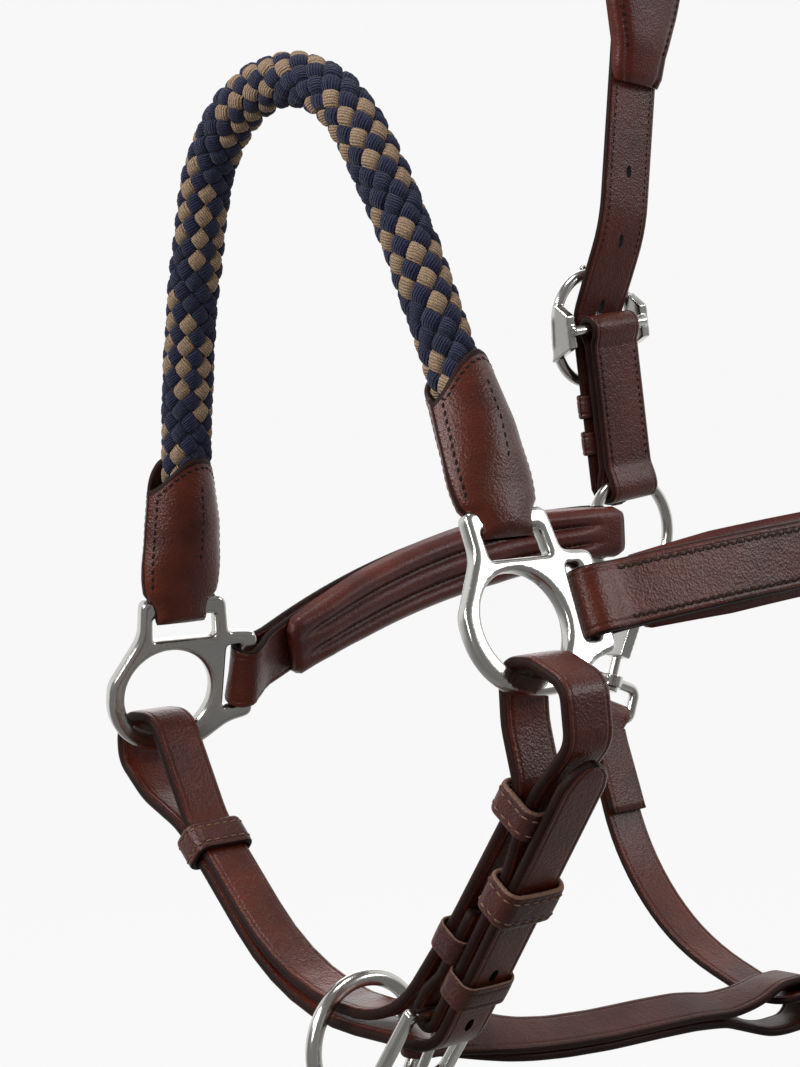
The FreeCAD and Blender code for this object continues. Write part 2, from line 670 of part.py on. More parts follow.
def snap_pin():
    half = size("snap_plate") / 2
    pin = rod(Vector(-4.2, 16, -half), Vector(-4.2, 16, half + 0.2), size("pin_radius"))
    head = rod(Vector(-4.2, 16, half + 0.05), Vector(-4.2, 16, half + 1.1), size("pin_radius") + 0.7)
    return shape_node("snap_pin", pin.fuse(head).removeSplitter(), at(SNAP_TOP, snap_rotation()))


def snap_eye():
    """The swivelling rectangular eye; its long bars lie across the throat strap."""
    half = size("throat_width") / 2 + 4.5
    middle = (EYE_TOP + EYE_BOTTOM) / 2
    tall = EYE_BOTTOM - EYE_TOP
    corners = rounded(box_outline(2 * half, tall, 3.2, 0, middle))
    path = Part.Wire(Part.__sortEdges__([edge.toShape() for edge in corners]))
    start = path.OrderedEdges[0]
    circle = Part.Wire([Part.makeCircle(EYE_WIRE / 2, start.valueAt(start.FirstParameter),
                                        start.tangentAt(start.FirstParameter))])
    loop = path.makePipeShell([circle], True, False)
    boss = rod(Vector(0, EYE_TOP - 2.2, 0), Vector(0, EYE_TOP + 2.2, 0), 4.2)
    bore = rod(Vector(0, 0, 0), Vector(0, EYE_TOP + 9, 0), 1.97)
    head_room = rod(Vector(0, EYE_TOP + EYE_WIRE / 2 + 0.2, 0), Vector(0, EYE_TOP + 9, 0), 3.2)
    solid = loop.fuse(boss).cut(bore).cut(head_room).removeSplitter()
    return shape_node("snap_eye", solid, at(SNAP_TOP, axes(SNAP_FACE * -1, SNAP_DOWN)))


THROAT_BACK = [(-86, 194), (-70, 193.5), (-45, 193), (-20, 193.5), (12, 194.5), (45, 201), (75, 209), (86, 214)]


def throat_strap():
    width = size("throat_width")
    top = SNAP_TOP + SNAP_DOWN * EYE_BOTTOM
    ring = side_ring_centre(1) - Vector(0, 2, size("ring_radius"))
    route = [(top.x, top.z, 0), (-63.6, -117.6, 84), (0, -141.6, 38), (63.6, -117.6, 84), (ring.x, ring.z, 0)]
    tilted, level = SNAP_FACE * -1, Y_AXIS
    stations = []
    run = 0
    for i, (point, direction) in enumerate(sampled(route, 6)):
        centre = Vector(point.x, between(THROAT_BACK, point.x), point.y)
        if i == 0:
            centre.y = top.y
        run += (centre - stations[-1][0]).Length if stations else 0
        blend = min(1, run / 45)
        across = (tilted * (1 - blend) + level * blend).normalize()
        along = Vector(direction.x, 0, direction.y)
        stations.append((centre, along, across, width, LEATHER))
    body = ribbon(stations)
    lining = []
    for centre, along, across, wide, thick in stations:
        reach = (centre - stations[0][0]).Length
        if reach > 40:
            break
        inward = along.cross(across).normalize()
        inward = inward * math.copysign(1, inward.x)
        lining.append((centre + inward * (LEATHER - 0.05), along, across, wide, LEATHER))
    if len(lining) > 1:
        body = body.fuse(ribbon(lining))
    for centre, across, wire in ((top, tilted, EYE_WIRE), (stations[-1][0], level, size("ring_wire"))):
        radius = wire / 2 + GAP + 2.6
        body = body.fuse(rod(centre - across * (width / 2), centre + across * (width / 2), radius))
    body = body.cut(rod(top - tilted * 20, top + tilted * 20, EYE_WIRE / 2 + GAP))
    body = body.cut(ring_cut(side_ring_centre(1), X_AXIS, size("ring_radius"), size("ring_wire")))
    return shape_node("throat_strap", body.removeSplitter())


# ---------------------------------------------------------------- crown

CHAPE_LEAN = FreeCAD.Rotation(X_AXIS, size("crown_chape_lean"))
BAR_REACH = size("crown_bar") / 2 + 0.15
BILLET_OUT = BAR_REACH + LEATHER + GAP + LEATHER / 2
FRAME_OUT = BILLET_OUT + LEATHER / 2 + GAP + size("buckle_wire") / 2
FRAME_TILT = 4.4


def crown_back(height):
    """How far back the crown strap lies at a height above the noseband datum."""
    rise = height - size("crown_bar_rise")
    lean = size("crown_back_lean") if rise > 0 else -size("crown_chape_lean")
    return size("crown_bar_back") + rise * math.tan(rad(lean))


def crown_bar(side):
    return Vector(side * size("side_ring_half_span"), size("crown_bar_back"), size("crown_bar_rise"))


def crown_stations():
    side_x = size("side_ring_half_span") + BILLET_OUT
    top = size("poll_rise") + size("crown_pad") + GAP + LEATHER / 2
    half = [(-side_x, 33, 0), (-side_x, 106, 24), (-81.5, 138, 60), (-79, top, 70)]
    route = half + [(-x, z, r) for x, z, r in half[::-1]]
    stations = []
    for point, direction in sampled(route, 5):
        lean = between([(80, -size("crown_chape_lean")), (122, size("crown_back_lean"))], point.y)
        across = Vector(0, math.cos(rad(lean)), -math.sin(rad(lean)))
        centre = Vector(point.x, crown_back(point.y), point.y)
        along = Vector(direction.x, direction.y * math.sin(rad(lean)), direction.y * math.cos(rad(lean)))
        stations.append((centre, along.normalize(), across))
    return stations


def with_bend_rows(stations):
    """Adds rows at the buckle, where the strap's lean changes."""
    rows = []
    for (c0, a0, s0), (c1, a1, s1) in zip(stations, stations[1:]):
        rows.append((c0, a0, s0))
        inside = [z for z in (60, 80, 94, 101, 108, 122) if min(c0.z, c1.z) < z < max(c0.z, c1.z)]
        if abs(c0.x - c1.x) < 1:
            for z in sorted(inside, reverse=c0.z > c1.z):
                lean = between([(80, -size("crown_chape_lean")), (122, size("crown_back_lean"))], z)
                up = math.copysign(1, c1.z - c0.z)
                across = Vector(0, math.cos(rad(lean)), -math.sin(rad(lean)))
                along = Vector(0, up * math.sin(rad(lean)), up * math.cos(rad(lean)))
                rows.append((Vector(c0.x, crown_back(z), z), along, across))
    return rows + [stations[-1]]


def crown_strap():
    stations = with_bend_rows(crown_stations())
    solid = ribbon([(c, a, s, size("crown_width"), LEATHER) for c, a, s in stations])
    for side in (-1, 1):
        for k in range(-1, 3):
            z = size("crown_bar_rise") + size("worn_hole_rise") + k * size("hole_pitch")
            centre = Vector(side * (size("side_ring_half_span") + BILLET_OUT), crown_back(z), z)
            length, along = size("hole_length"), Vector(0, 0.1, 1)
            if k == 0:
                length = size("worn_hole_length")
                along = CHAPE_LEAN.multVec(Vector(0, 0, 1))
                centre.y = crown_bar(side).y + along.y * size("worn_hole_rise")
            solid = solid.cut(oblong_hole(centre, X_AXIS, along, length))
    return shape_node("crown_strap", solid.removeSplitter())


def crown_padding():
    """The padded lining: wide over the poll and narrowing down both sides."""
    rows = [row for row in crown_stations() if row[0].z > size("poll_rise") - 100]
    (first, up, across), (last, down, last_across) = rows[0], rows[-1]
    rows.insert(0, (first - up * size("crown_pad_drop"), up, across))
    rows.append((last + down * size("crown_pad_drop"), down, last_across))
    reach = [0]
    for one, two in zip(rows, rows[1:]):
        reach.append(reach[-1] + (two[0] - one[0]).Length)
    middle = reach[-1] / 2
    stations = []
    for (centre, along, across), run in zip(rows, reach):
        share = 1 - abs(run - middle) / middle
        width = between([(0, 25), (0.08, 27), (0.2, 37), (0.36, 43), (1, size("poll_pad_width"))], share)
        thick = between([(0, 4), (0.1, size("crown_pad")), (1, size("crown_pad"))], share)
        inward = along.cross(across).normalize()
        if inward.dot(Vector(0, 0, 200) - centre) < 0:
            inward = inward * -1
        stations.append((centre + inward * (LEATHER / 2 + GAP + thick / 2), along, across, width, thick))
    return shape_node("crown_padding", ribbon(stations))


def crown_chape(name, side):
    """Doubled leather from the side ring up to the buckle's centre bar."""
    end, waist = BAR_REACH + LEATHER, LEATHER + 0.05
    ring_top = Vector(side * size("side_ring_half_span"), size("side_ring_back"),
                      size("side_ring_rise") + size("ring_radius"))
    drop = (ring_top - crown_bar(side)).Length
    wire = size("ring_wire") / 2 + GAP + size("ring_play")
    fold = wire + size("chape_fold")
    reach = size("crown_width") / 2 + size("ring_sag_room")
    sag = size("ring_radius") - math.sqrt(size("ring_radius") ** 2 - reach ** 2)
    foot = drop + sag + fold
    right = [(end, end, end - 0.05), (end, -3, 8), (waist, -13, 8), (waist, -drop + 13, 8),
             (fold, -drop + 3, 8), (fold, -foot, fold - 0.05)]
    outline = rounded(right + [(-x, y, r) for x, y, r in right[::-1]])
    bar_hole = Part.Circle(Vector(0, 0, 0), Vector(0, 0, 1), BAR_REACH)
    ring_hole = rounded(box_outline(2 * wire, sag + 2 * wire, wire - 0.05, 0, -drop - sag / 2))
    blank = padded_body(name + "_crown_chape_blank", "XZ_Plane", outline + [bar_hole] + ring_hole,
                        "Sizes.crown_width", at(crown_bar(side), CHAPE_LEAN))
    nodes.remove(blank)
    tool = doc.addObject("Part::Box", name + "_tongue_slot")
    tool.Length, tool.Height = 20, 14
    tool.setExpression("Width", "Sizes.tongue_slot")
    corner = CHAPE_LEAN.multVec(Vector(-10, -size("tongue_slot") / 2, -4.4))
    tool.Placement = at(crown_bar(side) + corner, CHAPE_LEAN)
    chape = doc.addObject("Part::Cut", name + "_crown_chape")
    chape.Label = name + "_crown_chape"
    chape.Base, chape.Tool = blank, tool
    doc.recompute()
    nodes.append(chape)
    return chape


def frame_bar(side, end):
    """Centre of the frame's top (end 1) or bottom (end -1) bar, seen from the centre bar."""
    reach = (size("buckle_height") - size("buckle_wire")) / 2
    out = FRAME_OUT if end < 0 else FRAME_OUT - FRAME_TILT
    return Vector(side * out, 0, end * reach)


def crown_buckle(name, side):
    """Oval frame standing off the strap on two lugs that carry the centre bar."""
    wire = size("buckle_wire") / 2
    width, height = size("buckle_width") - 2 * wire, size("buckle_height") - 2 * wire
    top, bottom = frame_bar(side, 1), frame_bar(side, -1)
    path = Part.Wire(Part.__sortEdges__([edge.toShape() for edge in rounded(box_outline(width, height, 17))]))
    first = path.OrderedEdges[0]
    circle = Part.Wire([Part.makeCircle(wire, first.valueAt(first.FirstParameter),
                                        first.tangentAt(first.FirstParameter))])
    frame = path.makePipeShell([circle], True, False)
    middle = (top + bottom) / 2
    frame.Placement = FreeCAD.Placement(middle, axes(Y_AXIS, (top - bottom).normalize()))
    ends = [Vector(0, sign * width / 2, 0) for sign in (-1, 1)]
    bar = rod(ends[0], ends[1], size("crown_bar") / 2)
    web = slab([(0, -6), (0, 6), (top.x, 11), (bottom.x, -11)], 2 * wire - 0.4)
    for end in ends:
        side_web = web.copy()
        side_web.Placement = FreeCAD.Placement(end, axes(X_AXIS, Vector(0, 0, 1)))
        bar = bar.fuse(side_web)
    return shape_node(name + "_crown_buckle", frame.fuse(bar).removeSplitter(), at(crown_bar(side), CHAPE_LEAN))


def crown_tongue(name, side):
    """The tongue bends just outside the billet and lies on the frame's top bar."""
    rest = size("buckle_wire") / 2 + size("tongue_room") + size("tongue_wire") / 2
    elbow = Vector(side * 9.6, 0, 8)
    top = frame_bar(side, 1)
    span = top - elbow
    turn = math.asin(rest / span.Length)
    ahead = FreeCAD.Rotation(Y_AXIS, side * math.degrees(turn)).multVec(span).normalize()
    tip = elbow + ahead * (span.Length * math.cos(turn) + 2.5)
    placement = at(crown_bar(side), CHAPE_LEAN)
    return tongue(name + "_crown_tongue", Vector(0, 0, 0), elbow, tip, size("crown_bar"), placement)


def crown_keeper(name, side, place, drop):
    centre = crown_bar(side) + CHAPE_LEAN.multVec(Vector(side * BILLET_OUT, 0, -drop))
    room = 2 * size("keeper_room")
    placement = at(centre, CHAPE_LEAN.multiply(axes(X_AXIS, Y_AXIS)))
    return keeper("%s_crown_%s_keeper" % (name, place), placement, LEATHER + room,
                  size("crown_width") + room, size("crown_keeper_wall"), 9)


# ---------------------------------------------------------------- build

for name, side in SIDES:
    nose_fitting(name, side)
    rope_chape(name, side)
    torus(name + "_side_ring", side_ring_centre(side), X_AXIS, "Sizes.ring_radius", "Sizes.ring_wire / 2")
    cheek_strap(name, side)
    cheek_padding(name, side)
    crown_chape(name, side)
    crown_buckle(name, side)
    crown_tongue(name, side)
    crown_keeper(name, side, "upper", 29)
    crown_keeper(name, side, "lower", 43)
nose_rope()
torus("lead_ring", LEAD_CENTRE, X_AXIS, "Sizes.lead_radius", "Sizes.lead_wire / 2")
chin_strap()
chin_buckle()
chin_tongue()
half = size("chin_thickness") / 2
bundle_keeper("near_loop_keeper", 89.3 - half, 97.2 + half, 24, 10, size("keeper_wall"))
bundle_keeper("billet_keeper", LAYER_BUCKLE - half, LAYER_BILLET + half, -1.6, 12, size("keeper_wall"))
bundle_keeper("outer_fixed_keeper", LAYER_BUCKLE - half, LAYER_BILLET + half, -36, 9, size("seam_wall"))
bundle_keeper("inner_fixed_keeper", 88.4 - half / 2, LAYER_TURN + half, -27, 9, size("seam_wall"))
far_out = Vector(-math.sin(rad(45)), 0, -math.cos(rad(45)))
keeper("far_loop_keeper", at(Vector(-64, 0, -61.4), axes(far_out, Vector(0, 1, 0))), 8.6,
       size("chin_width") + 2 * size("keeper_room"), size("keeper_wall"), 10.5)
jaw_strap()
snap_body()
snap_gate()
snap_pin()
snap_eye()
throat_strap()
crown_strap()
crown_padding()

doc.recompute()
failed = []
for item in doc.Objects:
    if any(word in ("Invalid", "Error") for word in item.State):
        failed.append(item.Label + " state")
for node in nodes:
    if node.Shape.isNull() or not node.Shape.isValid():
        failed.append(node.Label + " shape")
if failed:
    raise RuntimeError("failed: " + ", ".join(failed))
os.makedirs("parts", exist_ok=True)
for node in nodes:
    node.Shape.exportStep("parts/%s.step" % node.Label)
print(len(nodes), "nodes written")
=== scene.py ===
"""Looks of a leather headcollar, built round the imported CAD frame."""
import json
import random
from math import atan2, ceil, copysign, cos, degrees, exp, hypot, pi, radians as rad, sin, sqrt, tan

import bpy
from mathutils import Matrix, Vector


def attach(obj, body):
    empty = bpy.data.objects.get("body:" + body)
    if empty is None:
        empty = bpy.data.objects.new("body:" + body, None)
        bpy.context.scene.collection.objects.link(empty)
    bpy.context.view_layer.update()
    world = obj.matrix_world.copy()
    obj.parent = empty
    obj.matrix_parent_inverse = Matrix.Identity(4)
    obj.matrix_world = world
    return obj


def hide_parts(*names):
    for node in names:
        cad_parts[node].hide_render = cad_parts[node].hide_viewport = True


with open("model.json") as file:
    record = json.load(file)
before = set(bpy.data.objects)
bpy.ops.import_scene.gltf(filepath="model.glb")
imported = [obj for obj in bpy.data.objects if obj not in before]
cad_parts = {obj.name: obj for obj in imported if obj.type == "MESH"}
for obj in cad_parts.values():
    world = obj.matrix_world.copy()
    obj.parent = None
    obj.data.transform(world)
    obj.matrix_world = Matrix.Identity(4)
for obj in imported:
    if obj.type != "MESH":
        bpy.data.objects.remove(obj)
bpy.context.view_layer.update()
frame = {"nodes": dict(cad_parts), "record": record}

# Sizes are in millimetres from the noseband's datum; DATUM moves them into the frame.
DATUM = Vector((0, -236, -283))
X, Y = Vector((1, 0, 0)), Vector((0, 1, 0))
SIDES = (("near", 1), ("far", -1))
HALF_SPAN, SIDE_BACK, SIDE_RISE = 86.0, 216.0, 23.0
RING_RADIUS = 20.2


def between(table, key):
    """Linear reading of a small table of (key, value) pairs."""
    if key <= table[0][0]:
        return table[0][1]
    for (k0, v0), (k1, v1) in zip(table, table[1:]):
        if key <= k1:
            return v0 + (v1 - v0) * (key - k0) / (k1 - k0)
    return table[-1][1]


def eased(value):
    value = min(1.0, max(0.0, value))
    return value * value * (3 - 2 * value)


# ---------------------------------------------------------------- materials

def shader(name):
    material = bpy.data.materials.new(name)
    material.use_nodes = True
    tree = material.node_tree
    return material, tree, tree.nodes["Principled BSDF"]


def put(made, **values):
    """Sets a node's own values, and its sockets by their names with _ for a space."""
    for key, value in values.items():
        if hasattr(made, key):
            setattr(made, key, value)
        else:
            made.inputs[key.replace("_", " ")].default_value = value
    return made


def node(tree, kind, **values):
    return put(tree.nodes.new(kind), **values)


def ramp(tree, source, stops):
    made = tree.nodes.new("ShaderNodeValToRGB")
    while len(made.color_ramp.elements) < len(stops):
        made.color_ramp.elements.new(0.5)
    for element, (place, colour) in zip(made.color_ramp.elements, stops):
        element.position = place
        element.color = (*colour, 1)
    tree.links.new(source, made.inputs["Fac"])
    return made


def noise(tree, coordinates, scale, detail, rough=0.55):
    made = node(tree, "ShaderNodeTexNoise", Scale=scale, Detail=detail, Roughness=rough)
    tree.links.new(coordinates, made.inputs["Vector"])
    return made.outputs["Fac"]


def bump(tree, height, strength, distance, below=None):
    made = node(tree, "ShaderNodeBump", Strength=strength, Distance=distance)
    tree.links.new(height, made.inputs["Height"])
    if below is not None:
        tree.links.new(below.outputs["Normal"], made.inputs["Normal"])
    return made


def gloss(tree, shade, place, low, high, *texture):
    """Roughness that wanders between two values."""
    made = node(tree, "ShaderNodeMapRange", To_Min=low, To_Max=high)
    tree.links.new(noise(tree, place, *texture), made.inputs["Value"])
    tree.links.new(made.outputs["Result"], shade.inputs["Roughness"])


def leather(name, light, dark, rough, grain, coat, shine=0.33):
    material, tree, shade = shader(name)
    place = tree.nodes.new("ShaderNodeTexCoord").outputs["Object"]
    cloud = ramp(tree, noise(tree, place, 38, 6, 0.62), [(0.3, dark), (0.72, light)])
    tree.links.new(cloud.outputs["Color"], shade.inputs["Base Color"])
    cells = node(tree, "ShaderNodeTexVoronoi", Scale=1250.0, Randomness=1.0)
    tree.links.new(place, cells.inputs["Vector"])
    pores = bump(tree, cells.outputs["Distance"], grain, 0.00022)
    crumple = bump(tree, noise(tree, place, 520, 5, 0.65), grain, 0.0004, pores)
    waves = bump(tree, noise(tree, place, 60, 2), 0.25, 0.0012, crumple)
    tree.links.new(waves.outputs["Normal"], shade.inputs["Normal"])
    gloss(tree, shade, place, rough - 0.07, rough + 0.1, 90, 4)
    put(shade, Coat_Weight=coat, Coat_Roughness=0.28, Specular_IOR_Level=shine)
    return material


def yarn(name, light, dark):
    material, tree, shade = shader(name)
    coordinates = tree.nodes.new("ShaderNodeTexCoord")
    place = coordinates.outputs["Object"]
    lines = node(tree, "ShaderNodeTexWave", Scale=1.1, Distortion=2.2, Detail=3.0)
    lines.bands_direction = "Y"
    tree.links.new(coordinates.outputs["UV"], lines.inputs["Vector"])
    fuzz = noise(tree, place, 900, 5, 0.7)
    # The colour follows the lines' relief, darker in its low grooves: painted shade, with random fuzz tone
    # added.
    groove_shade_and_fuzz = node(tree, "ShaderNodeMath", operation="ADD")
    tree.links.new(lines.outputs["Fac"], groove_shade_and_fuzz.inputs[0])
    tree.links.new(fuzz, groove_shade_and_fuzz.inputs[1])
    tone = ramp(tree, groove_shade_and_fuzz.outputs["Value"], [(0.35, dark), (1.0, light)])
    tree.links.new(tone.outputs["Color"], shade.inputs["Base Color"])
    relief = bump(tree, lines.outputs["Fac"], 0.8, 0.0006)
    hairs = bump(tree, fuzz, 0.7, 0.0007, relief)
    tree.links.new(hairs.outputs["Normal"], shade.inputs["Normal"])
    put(shade, Roughness=0.95, Specular_IOR_Level=0.15, Sheen_Weight=0.12, Sheen_Roughness=0.5)
    return material


def metal(name, colour, low, high):
    material, tree, shade = shader(name)
    place = tree.nodes.new("ShaderNodeTexCoord").outputs["Object"]
    tone = ramp(tree, noise(tree, place, 55, 3), [(0.3, [c * 0.86 for c in colour]), (0.7, colour)])
    tree.links.new(tone.outputs["Color"], shade.inputs["Base Color"])
    gloss(tree, shade, place, low, high, 140, 5, 0.7)
    dents = bump(tree, noise(tree, place, 120, 3), 0.12, 0.0006)
    tree.links.new(dents.outputs["Normal"], shade.inputs["Normal"])
    put(shade, Metallic=1.0)
    return material


STRAP = leather("strap_leather", (0.125, 0.0210, 0.0085), (0.042, 0.0068, 0.0038), 0.32, 0.5, 0.06)
KEEPER = leather("keeper_leather", (0.085, 0.018, 0.0100), (0.034, 0.0078, 0.0052), 0.36, 0.6, 0.05)
PADDING = leather("padding_leather", (0.118, 0.0190, 0.0100), (0.055, 0.0085, 0.0055), 0.36, 0.4, 0.03)
UNDER = leather("under_leather", (0.070, 0.0150, 0.0090), (0.026, 0.0060, 0.0042), 0.44, 0.5, 0.0, 0.2)
EDGE = leather("edge_paint", (0.026, 0.0095, 0.0070), (0.011, 0.0048, 0.0040), 0.5, 0.2, 0.0, 0.1)
RAW = leather("raw_rim", (0.300, 0.175, 0.115), (0.120, 0.058, 0.036), 0.8, 0.8, 0.0)
THREAD_BROWN = yarn("thread_brown", (0.11, 0.045, 0.028), (0.045, 0.016, 0.011))
THREAD_DARK = yarn("thread_dark", (0.035, 0.014, 0.010), (0.010, 0.005, 0.004))
THREAD_TAN = yarn("thread_tan", (0.50, 0.29, 0.18), (0.26, 0.135, 0.08))
NAVY = yarn("navy_yarn", (0.024, 0.027, 0.066), (0.0070, 0.008, 0.023))
BEIGE = yarn("beige_yarn", (0.42, 0.285, 0.18), (0.185, 0.115, 0.068))
NICKEL = metal("bright_metal", (0.66, 0.645, 0.615), 0.15, 0.24)
# Near-black painted shade for the walls of cut holes and for the dents at stitch ends.
HOLE_SHADE = leather("painted_hole_shade", (0.012, 0.006, 0.005), (0.006, 0.003, 0.003), 0.7, 0.2, 0.0)


# ---------------------------------------------------------------- mesh building

def placed(name, data):
    """A new object in the scene."""
    obj = bpy.data.objects.new(name, data)
    bpy.context.scene.collection.objects.link(obj)
    return obj


def applied(obj):
    """Turns an object's modifiers into its mesh."""
    view = bpy.context.evaluated_depsgraph_get()
    final = bpy.data.meshes.new_from_object(obj.evaluated_get(view))
    obj.modifiers.clear()
    obj.data = final
    return final


def smooth(data):
    data.polygons.foreach_set("use_smooth", [True] * len(data.polygons))


def angles(count):
    """Angles that divide a circle evenly."""
    return [2 * pi * k / count for k in range(count)]


def distances(points):
    """How far along a line each of its points lies."""
    run = [0.0]
    for a, b in zip(points, points[1:]):
        run.append(run[-1] + (b - a).length)
    return run


def tube(rings, around):
    """The faces that join rings of points, each closed on itself."""
    faces = []
    for i in range(rings - 1):
        for k in range(around):
            m = (k + 1) % around
            faces.append([i * around + k, i * around + m, (i + 1) * around + m, (i + 1) * around + k])
    return faces


def ends(size, start):
    """The two faces that close a tube; its last ring begins at start."""
    return [list(range(size))[::-1], [start + k for k in range(size)]]


class Mesh:
    """Collects points and faces in millimetres, then becomes one piece on a body."""

    def __init__(self, name):
        self.name, self.points, self.faces, self.kinds, self.uvs = name, [], [], [], []

    def add(self, points, faces, kind=0, uvs=None):
        start = len(self.points)
        self.points += points
        for i, face in enumerate(faces):
            self.faces.append([start + k for k in face])
            self.kinds.append(kind[i] if isinstance(kind, list) else kind)
        self.uvs += uvs or [(0.5, 0.5)] * len(points)

    def piece(self, materials, replaces=(), slot="strap_leather", body="headcollar"):
        data = bpy.data.meshes.new(self.name)
        data.from_pydata([(p + DATUM) * 0.001 for p in self.points], [], self.faces)
        for material in materials:
            data.materials.append(material)
        data.polygons.foreach_set("material_index", self.kinds)
        smooth(data)
        layer = data.uv_layers.new(name="UVMap")
        for loop in data.loops:
            layer.data[loop.index].uv = self.uvs[loop.vertex_index]
        data.validate()
        return settle(placed(self.name, data), body, replaces)


def settle(obj, body, replaces):
    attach(obj, body)
    if replaces:
        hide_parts(*replaces)
    return obj


class Station:
    """One cross-section of a strap: centre, the direction across it, width and thickness."""

    def __init__(self, centre, across, width, thick):
        self.centre, self.across, self.width, self.thick = centre, across, width, thick
        self.along = self.out = None


def aligned(stations, closed=False):
    """Fills in each station's direction along the strap and outward from its face."""
    count = len(stations)
    for i, here in enumerate(stations):
        after = stations[(i + 1) % count] if closed else stations[min(i + 1, count - 1)]
        before = stations[i - 1] if closed else stations[max(i - 1, 0)]
        here.along = (after.centre - before.centre).normalized()
        here.across = (here.across - here.along * here.across.dot(here.along)).normalized()
        here.out = here.along.cross(here.across)
    return stations


CREASE, CREASE_HALF, CREASE_DEPTH, CROWNING = 2.2, 0.38, 0.24, 0.12


def strap_section(width, thick):
    """A strap's outline: (across, out, is_edge), rounded edges and a crease near each."""
    half, radius = width / 2, min(0.47 * thick, 1.35, width * 0.2)
    mark = min(CREASE, width * 0.22)
    row = [(-half + radius, 0), (-half + mark - CREASE_HALF, 0), (-half + mark, CREASE_DEPTH),
           (-half + mark + CREASE_HALF, 0), (-half + mark + 1.1, 0), (0, 0)]
    row = row + [(-a, d) for a, d in row[-2::-1]]
    points = []
    for face in (1, -1):
        for a, d in row:
            crown = CROWNING * (1 - (a / half) ** 2)
            points.append((a * face, (thick / 2 - CROWNING + crown - d) * face, False))
        for k in range(1, 6):
            turn = rad(90 - 30 * k)
            points.append((face * (half - radius + radius * cos(turn)),
                           face * (thick / 2 - CROWNING) * sin(turn), True))
    return points


def flat_side(width, thick):
    """The rest of a lining's outline, along its flat side."""
    return [(width / 2 - width * k / 8, -thick / 2, False) for k in range(1, 8)]


LOBES = 3


def lobed_section(width, thick):
    """A padded lining: flat on the strap's side, with rounded lobes on the other."""
    half, points = width / 2, []
    for k in range(25):
        a = -half + width * k / 24
        swell = abs(cos((a / width) * LOBES * pi)) ** 0.5
        dip = 0.6 * (1 - swell) * eased((thick - 4.4) / 1.6)
        rim = max(0.0, 1 - abs(a / half) ** 6) ** 0.5
        points.append((a, thick * (-0.5 + (1 - dip) * rim * 0.94), False))
    return points + flat_side(width, thick)


def sweep(mesh, stations, closed=False, section=strap_section, kinds=(0, 1)):
    """Runs a section along the stations. Its edge faces take the second material."""
    rings = []
    for here in stations:
        outline = section(here.width, here.thick)
        rings.append([here.centre + here.across * a + here.out * n for a, n, e in outline])
    size = len(rings[0])
    marks = [e for a, n, e in section(stations[0].width, stations[0].thick)]
    points = [p for ring in rings for p in ring]
    faces, tags = [], []
    for i in range(len(rings) if closed else len(rings) - 1):
        j = (i + 1) % len(rings)
        for k in range(size):
            m = (k + 1) % size
            faces.append([i * size + k, i * size + m, j * size + m, j * size + k])
            tags.append(kinds[1] if marks[k] and marks[m] else kinds[0])
    if not closed:
        faces += ends(size, (len(rings) - 1) * size)
        tags += [kinds[1], kinds[1]]
    mesh.add(points, [face[::-1] for face in faces], tags)


def stitch(mesh, centre, along, out, length, width, height, kind):
    """One raised thread, a stretched bead half sunk in the leather."""
    side = along.cross(out)
    points, uvs = [], []
    steps, around = 4, 6
    for i in range(steps + 1):
        t = -1 + 2 * i / steps
        size = sqrt(max(0.05, 1 - abs(t) ** 3))
        for k, turn in enumerate(angles(around)):
            points.append(centre + along * (t * length / 2) + side * (size * width / 2 * cos(turn))
                          + out * (size * height * sin(turn) - (1 - size) * height * 0.6))
            uvs.append((t, k / around * 3))
    mesh.add(points, tube(steps + 1, around) + ends(around, steps * around), kind, uvs)


def stitch_line(mesh, points, outs, pitch, length, width, height, kind, slant=0.0, shift=0.0):
    """A row of stitches along points on a surface whose outward directions are given."""
    travelled = distances(points)
    total, i = travelled[-1], 0
    count = max(1, int(total / pitch))
    for k in range(count):
        want = min((k + 0.5 + shift) * total / count, total - 0.01)
        while travelled[i + 1] < want:
            i += 1
        share = (want - travelled[i]) / (travelled[i + 1] - travelled[i])
        centre = points[i].lerp(points[i + 1], share)
        along = (points[i + 1] - points[i]).normalized()
        out = outs[i].lerp(outs[i + 1], share).normalized()
        if slant:
            along = (along + along.cross(out) * slant).normalized()
        stitch(mesh, centre, along, out, length, width, height, kind)


def stitch_row(mesh, stations, across, face, start=0.0, end=1.0, **how):
    """A stitch row on a strap's outward (1) or inward (-1) face."""
    first, last = int(start * (len(stations) - 1)), int(end * (len(stations) - 1))
    used = stations[first:last + 1]
    points = [s.centre + s.across * across + s.out * (face * (s.thick / 2 - 0.05)) for s in used]
    stitch_line(mesh, points, [s.out * face for s in used], **how)


def rounded(route, step, span):
    """Points along a 2-D route of (x, y, radius) corners: every step degrees, then every span."""
    corners = [Vector((x, y)) for x, y, r in route]
    out = [corners[0]]
    for i in range(1, len(route) - 1):
        before = (corners[i - 1] - corners[i]).normalized()
        after = (corners[i + 1] - corners[i]).normalized()
        half = before.angle(after) / 2
        radius = route[i][2]
        reach = radius / tan(half)
        middle = corners[i] + (before + after).normalized() * (radius / sin(half))
        first, last = corners[i] + before * reach - middle, corners[i] + after * reach - middle
        turn = atan2(first.x * last.y - first.y * last.x, first.dot(last))
        count = max(2, ceil(abs(degrees(turn)) / step))
        for k in range(count + 1):
            angle = turn * k / count
            out.append(middle + Vector((first.x * cos(angle) - first.y * sin(angle),
                                        first.x * sin(angle) + first.y * cos(angle))))
    out.append(corners[-1])
    fine = [out[0]]
    for point in out[1:]:
        count = max(1, ceil((point - fine[-1]).length / span))
        start = fine[-1]
        if (point - start).length < 0.02:
            continue
        fine += [start.lerp(point, (k + 1) / count) for k in range(count)]
    return fine


